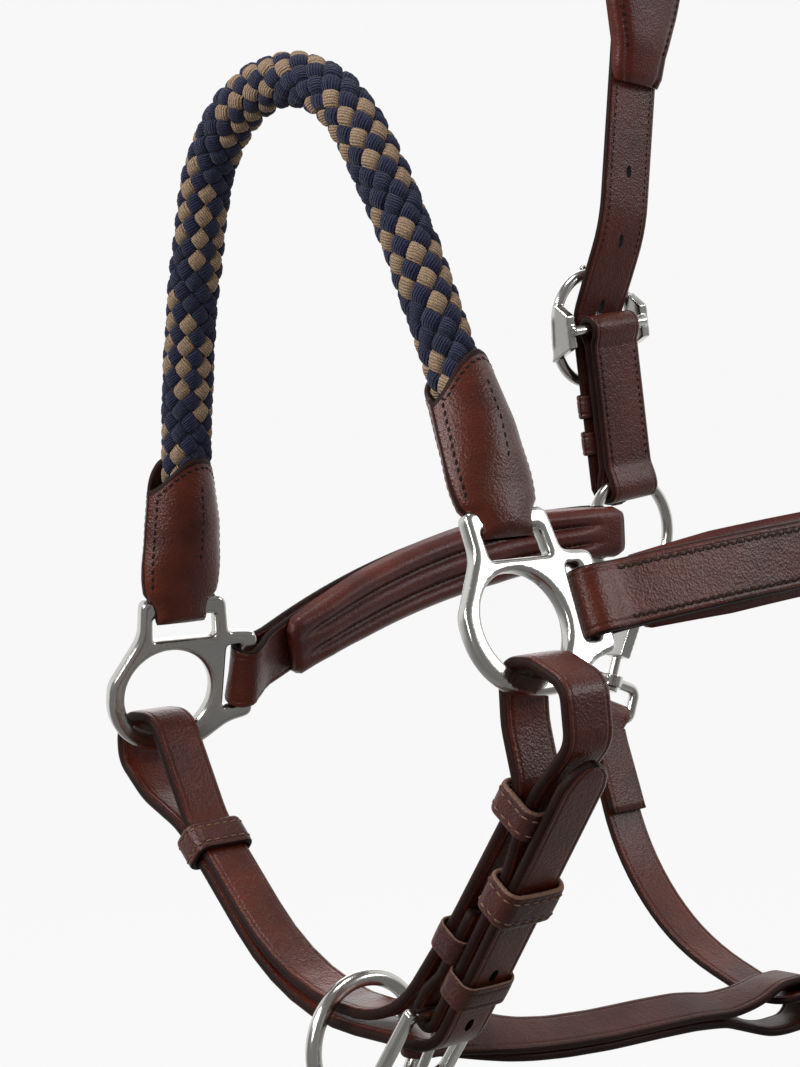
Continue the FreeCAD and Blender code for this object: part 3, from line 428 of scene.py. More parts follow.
def tip_rounded(stations, reach, last=True):
    """Rounds a strap's end in plan, and thins it a little."""
    order = stations[::-1] if last else stations
    run = 0.0
    for here, behind in zip(order, order[1:]):
        share = run / reach
        if share >= 1:
            break
        grown = sqrt(max(0.0, 1 - (1 - share) ** 2))
        here.width *= max(0.22, grown)
        here.thick *= 0.8 + 0.2 * eased(share * 2)
        run += (here.centre - behind.centre).length


def both_tips_rounded(stations, reach):
    tip_rounded(stations, reach)
    tip_rounded(stations, reach, False)


def folded(centre, out, along, gap, across, width, thick):
    """The half circle where a strap folds back: from the side of out, round past along."""
    made = []
    for k in range(1, 12):
        turn = pi * k / 12
        offset = out * (cos(turn) * gap) + along * (sin(turn) * gap)
        made.append(Station(centre + offset, across, width, thick))
    return made


def belt(line, gaps, width, thick):
    """A strap folded at both ends: (centre, along, across) lines, with the layers' half gap."""
    stations = []
    outs = [along.cross(across).normalized() for centre, along, across in line]
    for (centre, along, across), out, gap in zip(line, outs, gaps):
        stations.append(Station(centre + out * gap, across, width, thick))
    for end, sign in ((len(line) - 1, 1), (0, -1)):
        centre, along, across = line[end]
        stations += folded(centre, outs[end] * sign, along * sign, gaps[end], across, width, thick)
        if sign > 0:
            for (c, along, across), out, gap in list(zip(line, outs, gaps))[::-1]:
                stations.append(Station(c - out * gap, across, width, thick))
    return aligned(stations, True)


# ---------------------------------------------------------------- nose fittings

FITTING_LEAN, NEAR_TOE, FAR_TOE = rad(18.7), rad(-2), rad(13)
FITTING_SPAN, FITTING_RISE = 86.6, 13.9
TOP_SLOT, REAR_SLOT, BAR = (-6.6, 15.6, 18.2, 27.1), (19.4, 24.8, -7.2, 15.2), 5.4
TOP_BAR, REAR_BAR = TOP_SLOT[3] + BAR / 2, REAR_SLOT[1] + BAR / 2


def fitting_point(side, u, v):
    toe = NEAR_TOE if side > 0 else FAR_TOE
    centre = Vector((side * FITTING_SPAN, 0, side * FITTING_RISE))
    rearward = Vector((-side * sin(toe), cos(toe), 0))
    upward = Vector((-side * sin(FITTING_LEAN), 0, cos(FITTING_LEAN)))
    facing = rearward.cross(upward).normalized()
    return centre + rearward * u + facing.cross(rearward) * v


def softened(node_name, voxel, rounds, lift=0.0):
    """A copy of a CAD solid, remeshed and smoothed until its edges are rounded like a casting."""
    obj = placed(node_name + "_cast", frame["nodes"][node_name].data.copy())
    obj.data.materials.clear()
    obj.data.materials.append(NICKEL)
    remesh = obj.modifiers.new("remesh", "REMESH")
    remesh.mode, remesh.voxel_size, remesh.use_smooth_shade = "VOXEL", voxel * 0.001, True
    relax = obj.modifiers.new("smooth", "SMOOTH")
    relax.factor, relax.iterations = 0.5, rounds
    if lift:
        swell = obj.modifiers.new("swell", "DISPLACE")
        swell.strength, swell.mid_level = lift * 0.001, 0.0
    smooth(applied(obj))
    bodies = frame["record"]["behaviour"]["bodies"]
    body = next(name for name, members in bodies.items() if node_name in members)
    settle(obj, body, [node_name])


# ---------------------------------------------------------------- rope

ROPE_BACK, ROPE_RADIUS = 4.5, 8.0
ROPE_ROUTE = [(-73, 97.3, 333), (-25.2, 229.8, 44.6), (38.1, 132.4, 295)]
ROPE_STRANDS, ROPE_HIDDEN = 6, 21.0
ROPE_PITCH = [(110, 3.52), (170, 4.0)]
ROPE_TWIST = [(0, 0.0), (110, -0.78), (150, -0.95), (215, -1.6), (330, -0.5)]
ROPE_TURN, ROPE_SHIFT = 0.35, 3


def rope_ends():
    return [fitting_point(side, ROPE_BACK, TOP_BAR) for side in (-1, 1)]


def rope_line():
    far, near = rope_ends()
    route = [(far.x, far.z, 0)] + ROPE_ROUTE + [(near.x, near.z, 0)]
    return [Vector((p.x, ROPE_BACK, p.y)) for p in rounded(route, 3, 3)]


def braided_rope():
    line = rope_line()
    travelled = distances(line)
    total = travelled[-1]

    def place(run, angle, radius):
        run = min(max(run, 0.01), total - 0.01)
        i = next(k for k in range(len(line) - 1) if travelled[k + 1] >= run)
        share = (run - travelled[i]) / (travelled[i + 1] - travelled[i])
        before = (line[i] - line[max(i - 1, 0)]) if i else (line[1] - line[0])
        here = line[i + 1] - line[i]
        after = (line[min(i + 2, len(line) - 1)] - line[i + 1]) if i + 2 < len(line) else here
        start, end = before.normalized() + here.normalized(), here.normalized() + after.normalized()
        ahead = start.normalized().lerp(end.normalized(), share).normalized()
        outward = ahead.cross(Y).normalized()
        radial = outward * cos(angle) + Y * sin(angle)
        return line[i].lerp(line[i + 1], share) + radial * radius

    mesh = Mesh("braided_noseband")
    spacing = pi * ROPE_RADIUS / ROPE_STRANDS
    steps_p, steps_q = 10, 14
    wander = random.Random(7)
    run, row = ROPE_HIDDEN, 0
    while run < total - ROPE_HIDDEN:
        pitch = between(ROPE_PITCH, run)
        lean, half = atan2(spacing, pitch), hypot(spacing, pitch) / 2
        family = 1 if row % 2 == 0 else -1
        for column in range(ROPE_STRANDS):
            angle = 2 * pi * (column + 0.5 * (row % 2)) / ROPE_STRANDS
            angle += ROPE_TURN + between(ROPE_TWIST, run)
            strand = (column - row // 2 + ROPE_SHIFT) % ROPE_STRANDS
            beige = family > 0 and strand not in (1, 2)
            lift, shift = wander.uniform(-0.15, 0.2), wander.uniform(-0.15, 0.15)
            points, uvs, faces = [], [], []
            for i in range(steps_p + 1):
                p = (-1 + 2 * i / steps_p) * (half + 1.5)
                for k in range(steps_q + 1):
                    q = (-1 + 2 * k / steps_q) * (half + 0.15)
                    arc = family * p * sin(lean) + q * cos(lean)
                    axial = p * cos(lean) - family * q * sin(lean)
                    drop = 1.2 * (abs(p) / half) ** 3.2 + 0.95 * (abs(q) / half) ** 3.6
                    ply = 0.16 * abs(sin(q / half * 5.5 + p * 0.25 + row)) ** 0.6
                    points.append(place(run + axial + shift, angle + arc / ROPE_RADIUS,
                                        ROPE_RADIUS + 0.2 + lift - drop + ply))
                    uvs.append((p / half, q / half + strand * 3))
            for i in range(steps_p):
                for k in range(steps_q):
                    at = i * (steps_q + 1) + k
                    quad = [at, at + 1, at + steps_q + 2, at + steps_q + 1]
                    faces.append(quad if family > 0 else quad[::-1])
            mesh.add(points, faces, 1 if beige else 0, uvs)
        run += pitch
        row += 1
    core, around = [], 20
    for i in range(int(ROPE_HIDDEN), int(total - ROPE_HIDDEN), 4):
        core += [place(i, turn, ROPE_RADIUS - 1.6) for turn in angles(around)]
    mesh.add(core, tube(len(core) // around, around), 0)
    mesh.piece([NAVY, BEIGE], ["nose_rope"], "braided_rope")


# ---------------------------------------------------------------- rope chapes

def rope_chape(name, side):
    """The sewn cup: two panels, rounded over the rope and pinched flat along their seams."""
    foot = fitting_point(side, ROPE_BACK, TOP_BAR)
    inner = ROPE_ROUTE[0] if side < 0 else ROPE_ROUTE[-1]
    leg = Vector((inner[0] - foot.x, 0, inner[1] - foot.z)).normalized()
    facing = Y.cross(leg).normalized()
    if facing.x * side < 0:
        facing = -facing
    widths = [(-5.4, 18.6), (-1.5, 19.2), (1.5, 22.0), (4.5, 27), (14, 27.8), (26, 26.6), (38, 23.4),
              (50, 20.4)]
    depths = [(-5.5, 2.0), (-4.6, 7), (-3, 9.6), (0, 11), (8, 13.4), (18, 18), (28, 20.0), (50, 19.4)]
    low, high, levels, around = -5.45, 48.5, 44, 72

    def spot(level, turn, stand=0.0):
        """turn 0 faces outward; the two seams are at 90 and 270 degrees."""
        sine, cosine = sin(turn), cos(turn)
        depth = between(depths, level) / 2 + stand
        width = between(widths, level) / 2 + stand * 0.5
        pinch = abs(cosine) ** (0.82 + 0.36 * eased((level - 8) / 14))
        flange = 0.9 * abs(sine) ** 16 * eased((level - 2) / 8)
        across = width * sine + copysign(flange, sine) - 1.8 * (1 - eased(level / 30))
        return foot + leg * level + facing * (copysign(pinch, cosine) * depth) + Y * across

    def rim(turn):
        """The top edge: highest behind the middle of the front panel and low at the seams."""
        lean = 3.4 * sin(turn) * (1 if cos(turn) > 0 else 0.5)
        return high - 1.4 + lean - 8.2 * abs(sin(turn)) ** 2.4

    mesh = Mesh(name + "_chape_cup")
    points = []
    turns = angles(around)
    for i in range(levels + 1):
        points += [spot(low + (rim(t) - low) * i / levels, t) for t in turns]
    for rise, sunk in ((0.75, -0.6), (0.55, -1.9), (-1.0, -2.5)):
        points += [spot(rim(t) + rise, t, sunk) for t in turns]
    for t in turns:
        points.append(foot + leg * (rim(t) - 2.5) + (facing * cos(t) + Y * sin(t)) * 6.9)
    rings = levels + 5
    faces = tube(rings, around)
    seams = [abs(sin(2 * pi * (k + 0.5) / around)) > 0.994 for k in range(around)]
    tags = [1 if i >= levels - 1 or seam else 0 for i in range(rings - 1) for seam in seams]
    if facing.cross(Y).dot(leg) > 0:
        faces = [face[::-1] for face in faces]
    mesh.add(points, faces, tags)
    for base in (0.0, pi):
        path = [(-68, z) for z in range(6, 37, 3)]
        path += [(a, rim(base + rad(a)) - 2.6) for a in range(-62, 63, 4)]
        path += [(68, z) for z in range(36, 5, -3)]
        middle = [(7 * side, z) for z in range(15, 40, 3)]
        for row in (path, middle):
            spots = [spot(z, base + rad(a), 0.0) for a, z in row]
            outs = [(spot(z, base + rad(a), 1.0) - spot(z, base + rad(a))).normalized() for a, z in row]
            stitch_line(mesh, spots, outs, pitch=2.45, length=2.0, width=0.85, height=0.14,
                        kind=2, slant=0.2)
    mesh.piece([STRAP, EDGE, THREAD_DARK], [name + "_rope_chape"])


# ---------------------------------------------------------------- cheeks

CHEEK_WIDTH, CHEEK_THICK, CHEEK_GAP, CHEEK_FOLD = 20, 3.05, 1.62, 3.85


def side_ring_centre(side):
    return Vector((side * HALF_SPAN, SIDE_BACK, SIDE_RISE))


def cheek_line(side):
    start = fitting_point(side, REAR_BAR, (REAR_SLOT[2] + REAR_SLOT[3]) / 2)
    ring = side_ring_centre(side)
    end = Vector((ring.x, ring.y - RING_RADIUS, ring.z + (4 if side > 0 else 1)))
    lift, bulge = (9 if side < 0 else 2.5), 6
    line, count = [], 60
    for k in range(count + 1):
        share = k / count
        arch, slope = 4 * share * (1 - share), 4 * (1 - 2 * share)
        centre = start.lerp(end, share) + Vector((side * bulge * arch, 0, lift * arch))
        along = (end - start + Vector((side * bulge * slope, 0, lift * slope))).normalized()
        roll = FITTING_LEAN * (1 - share)
        line.append((centre, along, Vector((-side * sin(roll), 0, cos(roll)))))
    return line


def cheek(name, side):
    line = cheek_line(side)
    length = distances([row[0] for row in line])[-1]
    gaps = []
    for k in range(len(line)):
        run = min(k, len(line) - 1 - k) * length / (len(line) - 1)
        gaps.append(CHEEK_GAP + (CHEEK_FOLD - CHEEK_GAP) * (1 - eased(run / 11)))
    stations = belt(line, gaps, CHEEK_WIDTH, CHEEK_THICK)
    mesh = Mesh(name + "_cheek")
    sweep(mesh, stations, True)
    count = len(line)
    outer = stations[:count] if side > 0 else stations[count + 11:2 * count + 11][::-1]
    for across in (-7.1, 7.1):
        used = outer[3:-4]
        points = [s.centre + s.across * across + s.out * (s.thick / 2 - 0.1) for s in used]
        outs = [s.out for s in used]
        stitch_line(mesh, points, outs, pitch=3.25, length=2.6, width=1.25, height=0.42, kind=2, slant=0.34)
        # The second row takes the near-black material: painted shade in the dents at the stitch holes.
        stitch_line(mesh, points, outs, pitch=3.25, length=2.1, width=0.9, height=0.16, kind=3, slant=-0.9,
                    shift=0.5)
    mesh.piece([STRAP, EDGE, THREAD_BROWN, HOLE_SHADE], [name + "_cheek_strap"])


def cheek_lining(name, side):
    line = cheek_line(side)
    stations = []
    for k, (centre, along, across) in enumerate(line):
        share = k / (len(line) - 1)
        if share < 0.1:
            continue
        inward = along.cross(across).normalized()
        inward = -inward if inward.x * side > 0 else inward
        stand_off = between([(0, 3.3), (0.75, 3.3), (1, 5.6)], share) + 0.3
        thick = between([(0, 2.6), (0.2, 6.3), (0.9, 6.3), (1, 4.3)], share)
        width = between([(0, 20), (0.3, 25), (0.7, 25), (1, 19)], share)
        stations.append(Station(centre + inward * (stand_off + thick / 2), across * side, width, thick))
    last = stations[-1]
    ahead = line[-1][1]
    for k in range(1, 4):
        stations.append(Station(last.centre + ahead * (8 * k / 3), last.across, last.width, last.thick))
    aligned(stations)
    both_tips_rounded(stations, 1.2)
    for s in stations:
        s.width = max(s.width, 16)
        if s.out.x * side > 0:
            s.out, s.across = -s.out, -s.across
    mesh = Mesh(name + "_cheek_lining")
    flipped = stations[1].along.cross(stations[1].across).dot(stations[1].out) < 0
    if flipped:
        for s in stations:
            s.across = -s.across
    sweep(mesh, stations, section=lobed_section, kinds=(0, 0))
    for lobe in (-1, 1):
        used = stations[3:-3]
        points = [s.centre + s.across * (lobe * s.width / 6) + s.out * (s.thick * 0.03) for s in used]
        stitch_line(mesh, points, [s.out for s in used], pitch=2.6, length=1.9, width=0.55, height=0.3,
                    kind=1)
    piece = mesh.piece([PADDING, THREAD_BROWN], [name + "_cheek_padding"], "padding_leather")


# ---------------------------------------------------------------- chin strap

CHIN_LEAN = rad(36.2)
CHIN_UP = Vector((sin(CHIN_LEAN), 0, cos(CHIN_LEAN)))
CHIN_OUT = Vector((cos(CHIN_LEAN), 0, -sin(CHIN_LEAN)))
CHIN_WIDTH, CHIN_THICK = 17.0, 3.7
KEEPER_PLAY = 0.7
HALF_LAYER = 1.9  # a layer of the CAD strap is 0.1 thicker than its drawn leather
LAYER_TURN, LAYER_BUCKLE, LAYER_BILLET = 94.2, 99.4, 103.6
HEEL_OUT, HEEL_UP = 95.6, -52.0


def chin_point(out, up):
    return CHIN_OUT * out + CHIN_UP * up


def chin_route():
    fold = HALF_LAYER + HALF_LAYER + 0.1
    bundle = [(LAYER_TURN, -13.5, 0), (LAYER_TURN, -38, 10), (HEEL_OUT - fold, -46, 10),
              (HEEL_OUT - fold, HEEL_UP - fold, fold - 0.02), (HEEL_OUT + fold, HEEL_UP - fold, fold - 0.02),
              (LAYER_BUCKLE, 6, 40), (96.2, 22, 30), (96.3, 33, 18)]
    corners = []
    for out, up, radius in bundle:
        point = chin_point(out, up)
        corners.append((point.x, point.z, radius))
    near_loop = [(111, -17, 9), (110, -0.8, 7), (97, 4.8, 9), (86.2, 4.2, 5.6), (86.2, -13, 25),
                 (90.4, -31.4, 10)]
    under = [(61.6, -68.6, 120), (31, -103.3, 38), (-19.2, -103.3, 79)]
    far_loop = [(-68.5, -54, 25), (-85, -21.8, 9), (-103.8, -21.8, 9), (-103.8, -37, 9), (-91.5, -47.6, 25),
                (-72.4, -55.9, 25)]
    last, tip = chin_point(LAYER_BILLET, -58.8), chin_point(LAYER_BILLET, 48)
    billet = [(-19.7, -108.6, 79), (last.x, -108.6, 16), (tip.x, tip.z, 0)]
    return corners + near_loop + under + far_loop + billet


def cut_holes(obj, cutters):
    """Cuts holes right through a piece; each cutter is (centre, through, along, length)."""
    whole = Mesh("cutters")
    for centre, through, along, length in cutters:
        across = along.cross(through).normalized()
        ring = []
        for turn in angles(16):
            stretch = along.normalized() * (sin(turn) * length / 2)
            ring.append(centre + across * (1.35 * cos(turn)) + stretch)
        size, deep = len(ring), through.normalized() * 6
        whole.add([p - deep for p in ring] + [p + deep for p in ring], tube(2, size) + ends(size, size))
    data = bpy.data.meshes.new("cutters")
    data.from_pydata([(p + DATUM) * 0.001 for p in whole.points], [], whole.faces)
    # The cutters' faces become the hole walls, painted near-black as shade inside the holes.
    data.materials.append(HOLE_SHADE)
    tool = placed("cutters", data)
    change = obj.modifiers.new("holes", "BOOLEAN")
    change.operation, change.solver, change.object = "DIFFERENCE", "EXACT", tool
    change.material_mode, change.use_self = "TRANSFER", True
    final = applied(obj)
    bpy.data.objects.remove(tool)
    # lining: the hole walls with the near-black painted shade; their edges against the leather are kept
    # sharp.
    lining = [i for i, slot in enumerate(final.materials) if slot is HOLE_SHADE]
    walls = {key for face in final.polygons if face.material_index in lining for key in face.edge_keys}
    skin = {key for face in final.polygons if face.material_index not in lining for key in face.edge_keys}
    sharp = final.attributes.new("sharp_edge", "BOOLEAN", "EDGE")
    for edge in final.edges:
        sharp.data[edge.index].value = edge.key in walls and edge.key in skin


def chin_strap():
    line = rounded(chin_route(), 8, 4)
    stations = [Station(Vector((p.x, 0, p.y)), Y, CHIN_WIDTH, CHIN_THICK) for p in line]
    last, before = stations[-1].centre, stations[-2].centre
    ahead = (last - before).normalized()
    stations.pop()
    for back in (8, 6, 4.4, 3, 2, 1.2, 0.6, 0.2, 0):
        if (last - ahead * back - stations[-1].centre).dot(ahead) > 0.1:
            stations.append(Station(last - ahead * back, Y, CHIN_WIDTH, CHIN_THICK))
    aligned(stations)
    tip_rounded(stations, 8.5)
    mesh = Mesh("chin_strap_leather")
    sweep(mesh, stations)
    obj = mesh.piece([STRAP, EDGE], ["chin_strap"])
    billet = [(chin_point(LAYER_BILLET, up), CHIN_OUT, CHIN_UP, 5.0) for up in (-29.3, -48.8)]
    cut_holes(obj, billet)


# ---------------------------------------------------------------- keepers

def keeper(name, body, centre, out, across, room_out, room_across, wall, length, rims, threads, replaced):
    """A leather loop round a bundle; rims says whether its upper rim is raw, threads whether it is sewn."""
    up = out.cross(across).normalized()
    wide, high = room_across / 2 + wall / 2, room_out / 2 + wall / 2
    radius = 3.0
    corners = [(wide, high), (-wide, high), (-wide, -high), (wide, -high)]
    loop = []
    for i, (a, o) in enumerate(corners):
        ca, co = a - copysign(radius, a), o - copysign(radius, o)
        start = (0, 90, 180, 270)[i]
        for k in range(9):
            turn = rad(start + 90 * k / 8)
            loop.append((ca + radius * cos(turn), co + radius * sin(turn)))
    fine = []
    for i, (a, o) in enumerate(loop):
        b, p = loop[(i + 1) % len(loop)]
        count = max(1, ceil(hypot(b - a, p - o) / 2.5))
        fine += [(a + (b - a) * k / count, o + (p - o) * k / count) for k in range(count)]
    bow = 0.45
    stations = []
    for a, o in fine:
        swell = bow * (1 - (a / wide) ** 2) * (1 if o > 0 else 0)
        spot = centre + across * a + out * (o + copysign(swell, o))
        stations.append(Station(spot, up, length, wall))
    aligned(stations, True)
    mesh = Mesh(name)
    sweep(mesh, stations, True, kinds=(0, 1))
    outward = stations[0].out.dot(stations[0].centre - centre) > 0
    face = 1 if outward else -1
    if threads:
        closed = stations + [stations[0]]
        for across_at in (-length / 2 + 2.4, length / 2 - 2.4):
            stitch_row(mesh, closed, across_at, face, pitch=3.2, length=2.2, width=0.62, height=0.3, kind=2)
    mesh.piece([KEEPER, RAW if rims else EDGE, THREAD_TAN], [replaced], "keeper_leather", body)


def bundle_keeper(name, body, inner, outer, up, length, wall, rims, threads):
    span = outer - inner + 2 * HALF_LAYER + KEEPER_PLAY
    keeper(name + "_loop", body, chin_point((inner + outer) / 2, up), CHIN_OUT, Y, span,
           CHIN_WIDTH + KEEPER_PLAY, wall, length, rims, threads, name)


# ---------------------------------------------------------------- jaw and throat straps

def jaw_strap():
    rows = [(20.5, 8, -115.2, 88), (24, 8, -115.6, 85), (30, 8, -116.5, 80), (38, 8, -118.8, 66),
            (46, 7.5, -121.6, 50), (55, 7, -124.6, 38), (66, 6.5, -127.2, 30), (80, 6, -129.4, 26),
            (100, 5, -131.4, 25), (125, 3.5, -132.9, 25), (143, 2, -134.4, 24), (154, 1, -136.2, 21),
            (165, 0.5, -138.4, 16), (174, 0.2, -140, 10), (182, 0, -141, 4), (188, 0, -141, 0),
            (197, 0, -141, 0)]
    gap = [(20.5, 4.1), (26, 3.4), (33, 1.75), (160, 1.75), (172, 4.5), (183, 7.6), (188, 8.2), (197, 8.0)]
    table = [[(r[0], r[k]) for r in rows] for k in (1, 2, 3)]
    line, gaps = [], []
    start, end, count = rows[0][0], rows[-1][0], 90
    for k in range(count + 1):
        y = start + (end - start) * k / count
        centre = Vector((between(table[0], y), y, between(table[1], y)))
        turn = rad(between(table[2], y))
        line.append([centre, Y, Vector((cos(turn), 0, -sin(turn)))])
        gaps.append(between(gap, y))
    for _ in range(3):
        for k in range(1, count):
            line[k][0] = (line[k - 1][0] + line[k][0] * 2 + line[k + 1][0]) / 4
            line[k][2] = (line[k - 1][2] + line[k][2] * 2 + line[k + 1][2]).normalized()
            gaps[k] = (gaps[k - 1] + gaps[k] * 2 + gaps[k + 1]) / 4
    for k in range(count + 1):
        line[k][1] = (line[min(k + 1, count)][0] - line[max(k - 1, 0)][0]).normalized()
    stations = belt(line, gaps, 16, 3.1)
    mesh = Mesh("jaw_strap_leather")
    sweep(mesh, stations, True)
    mesh.piece([UNDER, EDGE], ["jaw_strap"])


SNAP_LEAN = rad(22)
SNAP_DOWN = Vector((0, -sin(SNAP_LEAN), -cos(SNAP_LEAN)))
SNAP_FACE = Vector((0, -cos(SNAP_LEAN), sin(SNAP_LEAN)))
SNAP_TOP = Vector((-HALF_SPAN, SIDE_BACK + 0.5, SIDE_RISE - RING_RADIUS))
SNAP_LENGTH = 50.5
THROAT_BACK = [(-86, 194), (-70, 193.5), (-45, 193), (-20, 193.5), (12, 194.5), (45, 201), (75, 209),
               (86, 214)]


def throat_strap():
    top = SNAP_TOP + SNAP_DOWN * SNAP_LENGTH
    ring = side_ring_centre(1) - Vector((0, 2, RING_RADIUS))
    route = [(top.x, top.z, 0), (-63.6, -117.6, 84), (0, -141.6, 38), (63.6, -117.6, 84), (ring.x, ring.z, 0)]
    tilted, level = -SNAP_FACE, Y
    line, run = [], 0.0
    for i, point in enumerate(rounded(route, 4, 4)):
        centre = Vector((point.x, top.y if i == 0 else between(THROAT_BACK, point.x), point.y))
        run += (centre - line[-1][0]).length if line else 0
        share = eased(run / 45)
        line.append([centre, (tilted * (1 - share) + level * share).normalized(), run])
    line[0][1] = tilted
    thick, width = 2.7, 18.0
    main = []
    total = line[-1][2]
    first = (line[1][0] - line[0][0]).normalized()
    last = (line[-1][0] - line[-2][0]).normalized()
    inward = first.cross(line[0][1]).normalized()
    inward = inward if inward.x > 0 else -inward
    far_gap, near_gap = 3.75, 3.95
    lining = []
    for centre, across, run in line:
        reach = far_gap * (1 - eased(run / 13))
        back = near_gap * (1 - eased((total - run) / 12))
        outward = -inward if run < total / 2 else X
        main.append(Station(centre + outward * (reach + back), across, width, thick))
        if run < 41:
            depth = 3.0 + 0.75 * (1 - eased(run / 13))
            lining.append(Station(centre + inward * depth, across, width, thick))
    far_fold = folded(line[0][0], inward, -first, far_gap, tilted, width, thick)
    near_fold = folded(line[-1][0], X, last, near_gap, Y, width, thick)
    back_layer = []
    for centre, across, run in line[::-1]:
        left = total - run
        if left > 34:
            break
        if left > 1:
            depth = 3.0 + 0.95 * (1 - eased(left / 12))
            back_layer.append(Station(centre - X * depth, across, width, thick))
    stations = aligned(lining[::-1] + far_fold + main + near_fold + back_layer)
    mesh = Mesh("throat_strap_leather")
    sweep(mesh, stations)
    mesh.piece([STRAP, EDGE], ["throat_strap"])


# ---------------------------------------------------------------- crown

CROWN_BACK, CROWN_RISE, CROWN_WIDTH = 210.0, 101.0, 24.0
BAR_REACH, LEATHER, GAP = 2.15, 3.0, 0.3
BILLET_OUT = BAR_REACH + LEATHER + GAP + LEATHER / 2
HOLE_RISE, HOLE_PITCH = 5.6, 26
CHAPE_LEAN = rad(5.4)
CHAPE_UP = Vector((0, -sin(CHAPE_LEAN), cos(CHAPE_LEAN)))
CHAPE_ACROSS = Vector((0, cos(CHAPE_LEAN), sin(CHAPE_LEAN)))


def crown_bar(side):
    return Vector((side * HALF_SPAN, CROWN_BACK, CROWN_RISE))


def crown_back(height):
    rise = height - CROWN_RISE
    return CROWN_BACK + rise * tan(rad(8 if rise > 0 else -5.4))


def crown_stations(thick):
    side_x, top = HALF_SPAN + BILLET_OUT, 283 + 6.5 + GAP + LEATHER / 2
    half = [(-side_x, 33, 0), (-side_x, 106, 24), (-81.5, 138, 60), (-79, top, 70)]
    route = half + [(-x, z, r) for x, z, r in half[::-1]]
    made = []
    for point in rounded(route, 4, 4):
        lean = rad(between([(80, -5.4), (122, 8)], point.y))
        centre = Vector((point.x, crown_back(point.y), point.y))
        made.append(Station(centre, Vector((0, cos(lean), -sin(lean))), CROWN_WIDTH, thick))
    return made


def crown_strap():
    stations = crown_stations(LEATHER - 0.1)
    for end in (True, False):
        order = stations[::-1] if end else stations
        tip, behind = order[0].centre, order[1].centre
        extra = [Station(tip.lerp(behind, s), order[0].across, CROWN_WIDTH, LEATHER - 0.1)
                 for s in (0.05, 0.15, 0.3, 0.5, 0.75)]
        stations = order[:1] + extra + order[1:]
        stations = stations[::-1] if end else stations
    aligned(stations)
    both_tips_rounded(stations, 8)
    mesh = Mesh("crown_strap_leather")
    sweep(mesh, stations)
    obj = mesh.piece([STRAP, EDGE], ["crown_strap"])
    cutters = []
    for side in (-1, 1):
        for k in range(-1, 3):
            z = CROWN_RISE + HOLE_RISE + k * HOLE_PITCH
            here = [s for s in stations if s.centre.x * side >= 0]
            x = min(here, key=lambda s: abs(s.centre.z - z)).centre.x
            cutters.append((Vector((x, crown_back(z), z)), X, Vector((0, 0.1, 1)), 5.0 if k else 10.0))
    cut_holes(obj, cutters)
    rows = Mesh("crown_strap_stitching")
    low = [i for i, s in enumerate(stations) if s.centre.z > CROWN_RISE + 24]
    used = stations[low[0]:low[-1] + 1]
    for face in (1, -1):
        for across in (-8.8, 8.8):
            stitch_row(rows, used, across, face, pitch=2.5, length=1.7, width=0.5, height=0.24, kind=0)
    rows.piece([THREAD_DARK])


def crown_padding():
    stations = [s for s in crown_stations(LEATHER) if s.centre.z > 190]
    aligned(stations)
    reach = distances([s.centre for s in stations])
    middle = reach[-1] / 2
    made = []
    for s, run in zip(stations, reach):
        share = 1 - abs(run - middle) / middle
        width = between([(0, 25), (0.08, 27), (0.2, 37), (0.36, 43), (1, 46)], share)
        thick = between([(0, 3.8), (0.1, 6.3), (1, 6.3)], share)
        inward = s.out if s.out.dot(Vector((0, 0, 200)) - s.centre) > 0 else -s.out
        made.append(Station(s.centre + inward * (LEATHER / 2 + GAP + thick / 2), s.across, width, thick))
    aligned(made)
    for s in made:
        if s.out.dot(Vector((0, 0, 200)) - s.centre) < 0:
            s.out, s.across = -s.out, -s.across
    both_tips_rounded(made, 2.0)
    for s in made:
        s.width = max(s.width, 22)

    def section(width, thick):
        half, points = width / 2, []
        for k in range(29):
            a = -half + width * k / 28
            rim = max(0.0, 1 - abs(a / half) ** 7) ** 0.5
            seam = 0.42 * exp(-((abs(a) - half + 4.2) / 0.9) ** 2)
            crown = 0.75 + 0.25 * cos(a / half * pi / 2)
            points.append((a, thick * (-0.5 + rim * crown) - seam * rim * 2.2, False))
        return points + flat_side(width, thick)

    mesh = Mesh("crown_padding_cover")
    sweep(mesh, made, section=section, kinds=(0, 0))
    for s in (-1, 1):
        used = made[3:-3]
        points = [m.centre + m.across * (s * (m.width / 2 - 4.2)) + m.out * (m.thick * 0.33 - 0.3)
                  for m in used]
        stitch_line(mesh, points, [m.out for m in used], pitch=2.8, length=2.0, width=0.6, height=0.3, kind=1)
    piece = mesh.piece([PADDING, THREAD_DARK], ["crown_padding"], "padding_leather")


def crown_chape(name, side):
    drop, foot = 59.0, RING_RADIUS - sqrt(RING_RADIUS ** 2 - (CROWN_WIDTH / 2) ** 2)
    top = crown_bar(side)
    end = top - CHAPE_UP * (drop + foot * 0.6)
    line, gaps = [], []
    count = 40
    total = (end - top).length
    for k in range(count + 1):
        run = total * k / count
        line.append((top - CHAPE_UP * run, -CHAPE_UP, CHAPE_ACROSS))
        upper = 3.6 * (1 - eased(run / 11))
        lower = 3.7 * (1 - eased((total - run) / 15))
        gaps.append(max(1.52, upper, lower))
    stations = belt(line, gaps, CROWN_WIDTH, 2.85)
    mesh = Mesh(name + "_crown_chape_leather")
    sweep(mesh, stations, True)
    faces_in = stations[count // 2].out.x * side < 0
    inner = stations[:count + 1] if faces_in else stations[count + 12:2 * count + 12]
    for across in (-9.0, 9.0):
        stitch_row(mesh, inner, across, 1, 0.16, 0.84, pitch=2.6, length=1.8, width=0.7, height=0.3, kind=2)
    mesh.piece([STRAP, EDGE, THREAD_DARK], [name + "_crown_chape"])


